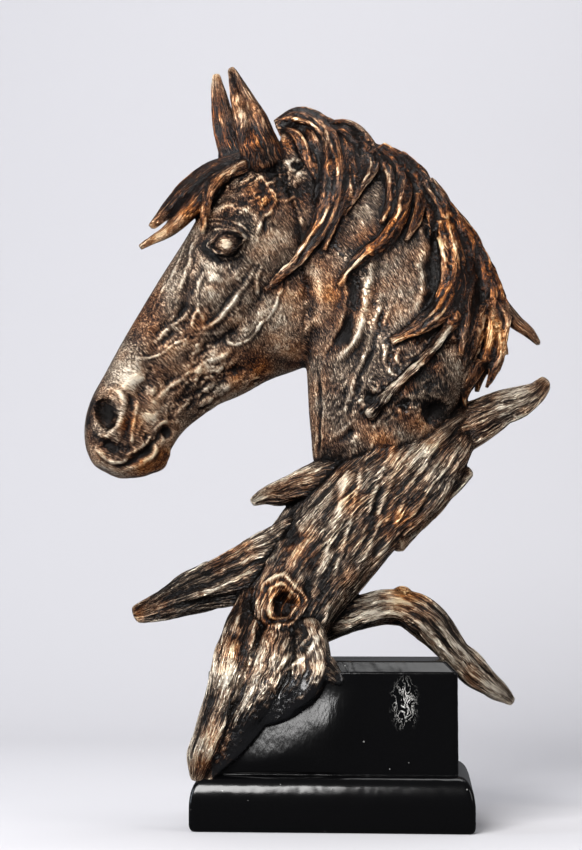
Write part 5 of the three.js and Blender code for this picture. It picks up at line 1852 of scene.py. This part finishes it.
def paint_bronze(material):
    material.use_nodes = True
    tree = material.node_tree
    shader = tree.nodes["Principled BSDF"]
    place = node(tree, "ShaderNodeTexCoord").outputs["Object"]
    fine = node(tree, "ShaderNodeGroup", {}, node_tree=unevenness)
    tree.links.new(place, fine.inputs["Place"])
    fine.inputs["Grain size"].default_value = 700
    strokes = strokes_along_flow(tree, (0.16, 1.3, 1.3), 3.0)
    hairs = strokes_along_flow(tree, (0.36, 2.4, 2.4), 2.0)
    blotches = cloud(tree, place, 42.0, 3.0)
    # Threads are the contour lines of a noise: thin bright ridges that wander along the grain of the wood.
    contour = sums(tree, "ABSOLUTE", centred(tree, strokes_along_flow(tree, (0.1, 0.46, 0.46), 3.0), 14.0))
    threads = node(tree, "ShaderNodeClamp", {"Value": sums(tree, "SUBTRACT", 1.0, contour)}).outputs[0]
    threads = sums(tree, "MULTIPLY", centred(tree, threads, 1.0), attribute(tree, "wood"))
    wax = added(
        tree,
        attribute(tree, "proud"),
        sums(tree, "MULTIPLY", threads, 0.26),
        centred(tree, strokes, 0.6),
        centred(tree, hairs, 1.1),
        centred(tree, blotches, 0.6),
        centred(tree, fine.outputs["Grain"], 0.35),
        *(weighted(tree, name, strength) for name, strength in WAX_FROM.items()),
        0.03,
    )
    redness = added(
        tree,
        attribute(tree, "copper"),
        centred(tree, cloud(tree, place, 17.0, 2.0), 1.2),
        centred(tree, cloud(tree, place, 75.0, 3.0), 1.6),
        weighted(tree, "hair", 0.35),
        0.12,
    )
    redness = node(tree, "ShaderNodeClamp", {"Value": redness}).outputs[0]
    metal = blend_colours(tree, redness, colour_ramp(tree, wax, GOLDEN), colour_ramp(tree, wax, COPPERY))
    lacquered = blend_colours(tree, attribute(tree, "lacquer"), metal, LACQUERED)
    tree.links.new(lacquered, shader.inputs["Base Color"])
    shine = rescaled(tree, wax, 0.4, 0.75, 0.1, 0.8)
    bare = sums(tree, "SUBTRACT", 1.0, attribute(tree, "lacquer"))
    tree.links.new(sums(tree, "MULTIPLY", shine, bare), shader.inputs["Metallic"])
    dull = rescaled(tree, wax, 0.4, 0.8, 0.16, 0.33)
    glossed = sums(tree, "SUBTRACT", dull, weighted(tree, "lacquer", 0.05))
    tree.links.new(glossed, shader.inputs["Roughness"])
    shader.inputs["Specular IOR Level"].default_value = 0.18
    tree.links.new(weighted(tree, "lacquer", 0.8), shader.inputs["Coat Weight"])
    shader.inputs["Coat Roughness"].default_value = 0.08
    height = added(
        tree,
        sums(tree, "MULTIPLY", strokes, 1.0),
        sums(tree, "MULTIPLY", hairs, 0.7),
        sums(tree, "MULTIPLY", threads, 0.5),
        sums(tree, "MULTIPLY", fine.outputs["Grain"], 0.4),
    )
    height = sums(tree, "MULTIPLY", height, sums(tree, "ADD", sums(tree, "MULTIPLY", bare, 0.9), 0.1))
    bump = node(tree, "ShaderNodeBump", {"Height": height, "Strength": 0.9, "Distance": 1.0 * MM})
    tree.links.new(bump.outputs[0], shader.inputs["Normal"])


paint_bronze(bronze)
print("bronze:", len(bronze.node_tree.nodes), "nodes")

# %% [markdown]
# ## Gloss black lacquer
#
# The plinth is nearly black, so what the eye sees is its reflections. The paint has slow waves, a few pale
# specks of dust and a splash of pale paint near the top right. Below the roots it has pooled, rippled and
# less glossy.

# %% Lacquer material
SPLASH_PLACE, SPLASH_RADII = (38.0, -48.0, 66.0), (11.0, 20.0, 21.0)
BLACK, DUST, PALE_PAINT = (0.0012, 0.0012, 0.0014, 1), (0.5, 0.5, 0.48, 1), (0.62, 0.61, 0.58, 1)


def paint_lacquer(material):
    material.use_nodes = True
    tree = material.node_tree
    shader = tree.nodes["Principled BSDF"]
    place = node(tree, "ShaderNodeTexCoord").outputs["Object"]
    fine = node(tree, "ShaderNodeGroup", {}, node_tree=unevenness)
    tree.links.new(place, fine.inputs["Place"])
    fine.inputs["Grain size"].default_value = 260
    fine.inputs["Speck size"].default_value = 300
    fine.inputs["Speck share"].default_value = 0.05
    dusted = blend_colours(tree, sums(tree, "MULTIPLY", fine.outputs["Specks"], 0.35), BLACK, DUST)
    from_splash = vector(tree, "SUBTRACT", place, tuple(value * MM for value in SPLASH_PLACE))
    squeezed = vector(tree, "DIVIDE", from_splash, tuple(value * MM for value in SPLASH_RADII))
    distance = vector(tree, "LENGTH", squeezed, out="Value")
    upright = vector(tree, "MULTIPLY", place, (1.7, 1.0, 0.75))
    torn = cloud(tree, upright, 150.0, 5.0, Roughness=0.65, Distortion=0.6)
    contour = sums(tree, "ABSOLUTE", sums(tree, "SUBTRACT", torn, 0.52))
    width = sums(tree, "MULTIPLY", sums(tree, "SUBTRACT", 0.8, distance), 0.04)
    splash = rescaled(tree, sums(tree, "SUBTRACT", width, contour), 0.0, 0.02)
    coloured = blend_colours(tree, splash, dusted, PALE_PAINT)
    tree.links.new(coloured, shader.inputs["Base Color"])
    thick = attribute(tree, "pooled")
    tree.links.new(added(tree, sums(tree, "MULTIPLY", thick, 0.2), 0.14), shader.inputs["Roughness"])
    shader.inputs["Specular IOR Level"].default_value = 0.3
    ripples = sums(tree, "MULTIPLY", cloud(tree, upright, 300.0, 3.0), sums(tree, "MULTIPLY", thick, 2.2))
    grain = sums(tree, "MULTIPLY", fine.outputs["Grain"], 0.12)
    height = added(tree, cloud(tree, place, 60.0, 2.0), ripples, grain)
    bump = node(tree, "ShaderNodeBump", {"Height": height, "Strength": 0.25, "Distance": 0.8 * MM})
    tree.links.new(bump.outputs[0], shader.inputs["Normal"])


lacquer_black = bpy.data.materials.new("gloss_black")
paint_lacquer(lacquer_black)
print("lacquer:", len(lacquer_black.node_tree.nodes), "nodes")

# %% [markdown]
# ## Putting it on the frame
#
# Each piece stands for one solid of the frame. It takes its finish, and the solid it stands for is hidden.

# %% Dress the frame
def dress(made, name, material, solid_node):
    made.name = name
    made.data.materials.clear()
    made.data.materials.append(material)
    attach(made, "root")
    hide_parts(solid_node)


dress(casting, "horse_driftwood_casting", bronze, "horse_and_driftwood")
dress(plinth, "moulded_plinth", lacquer_black, "plinth")
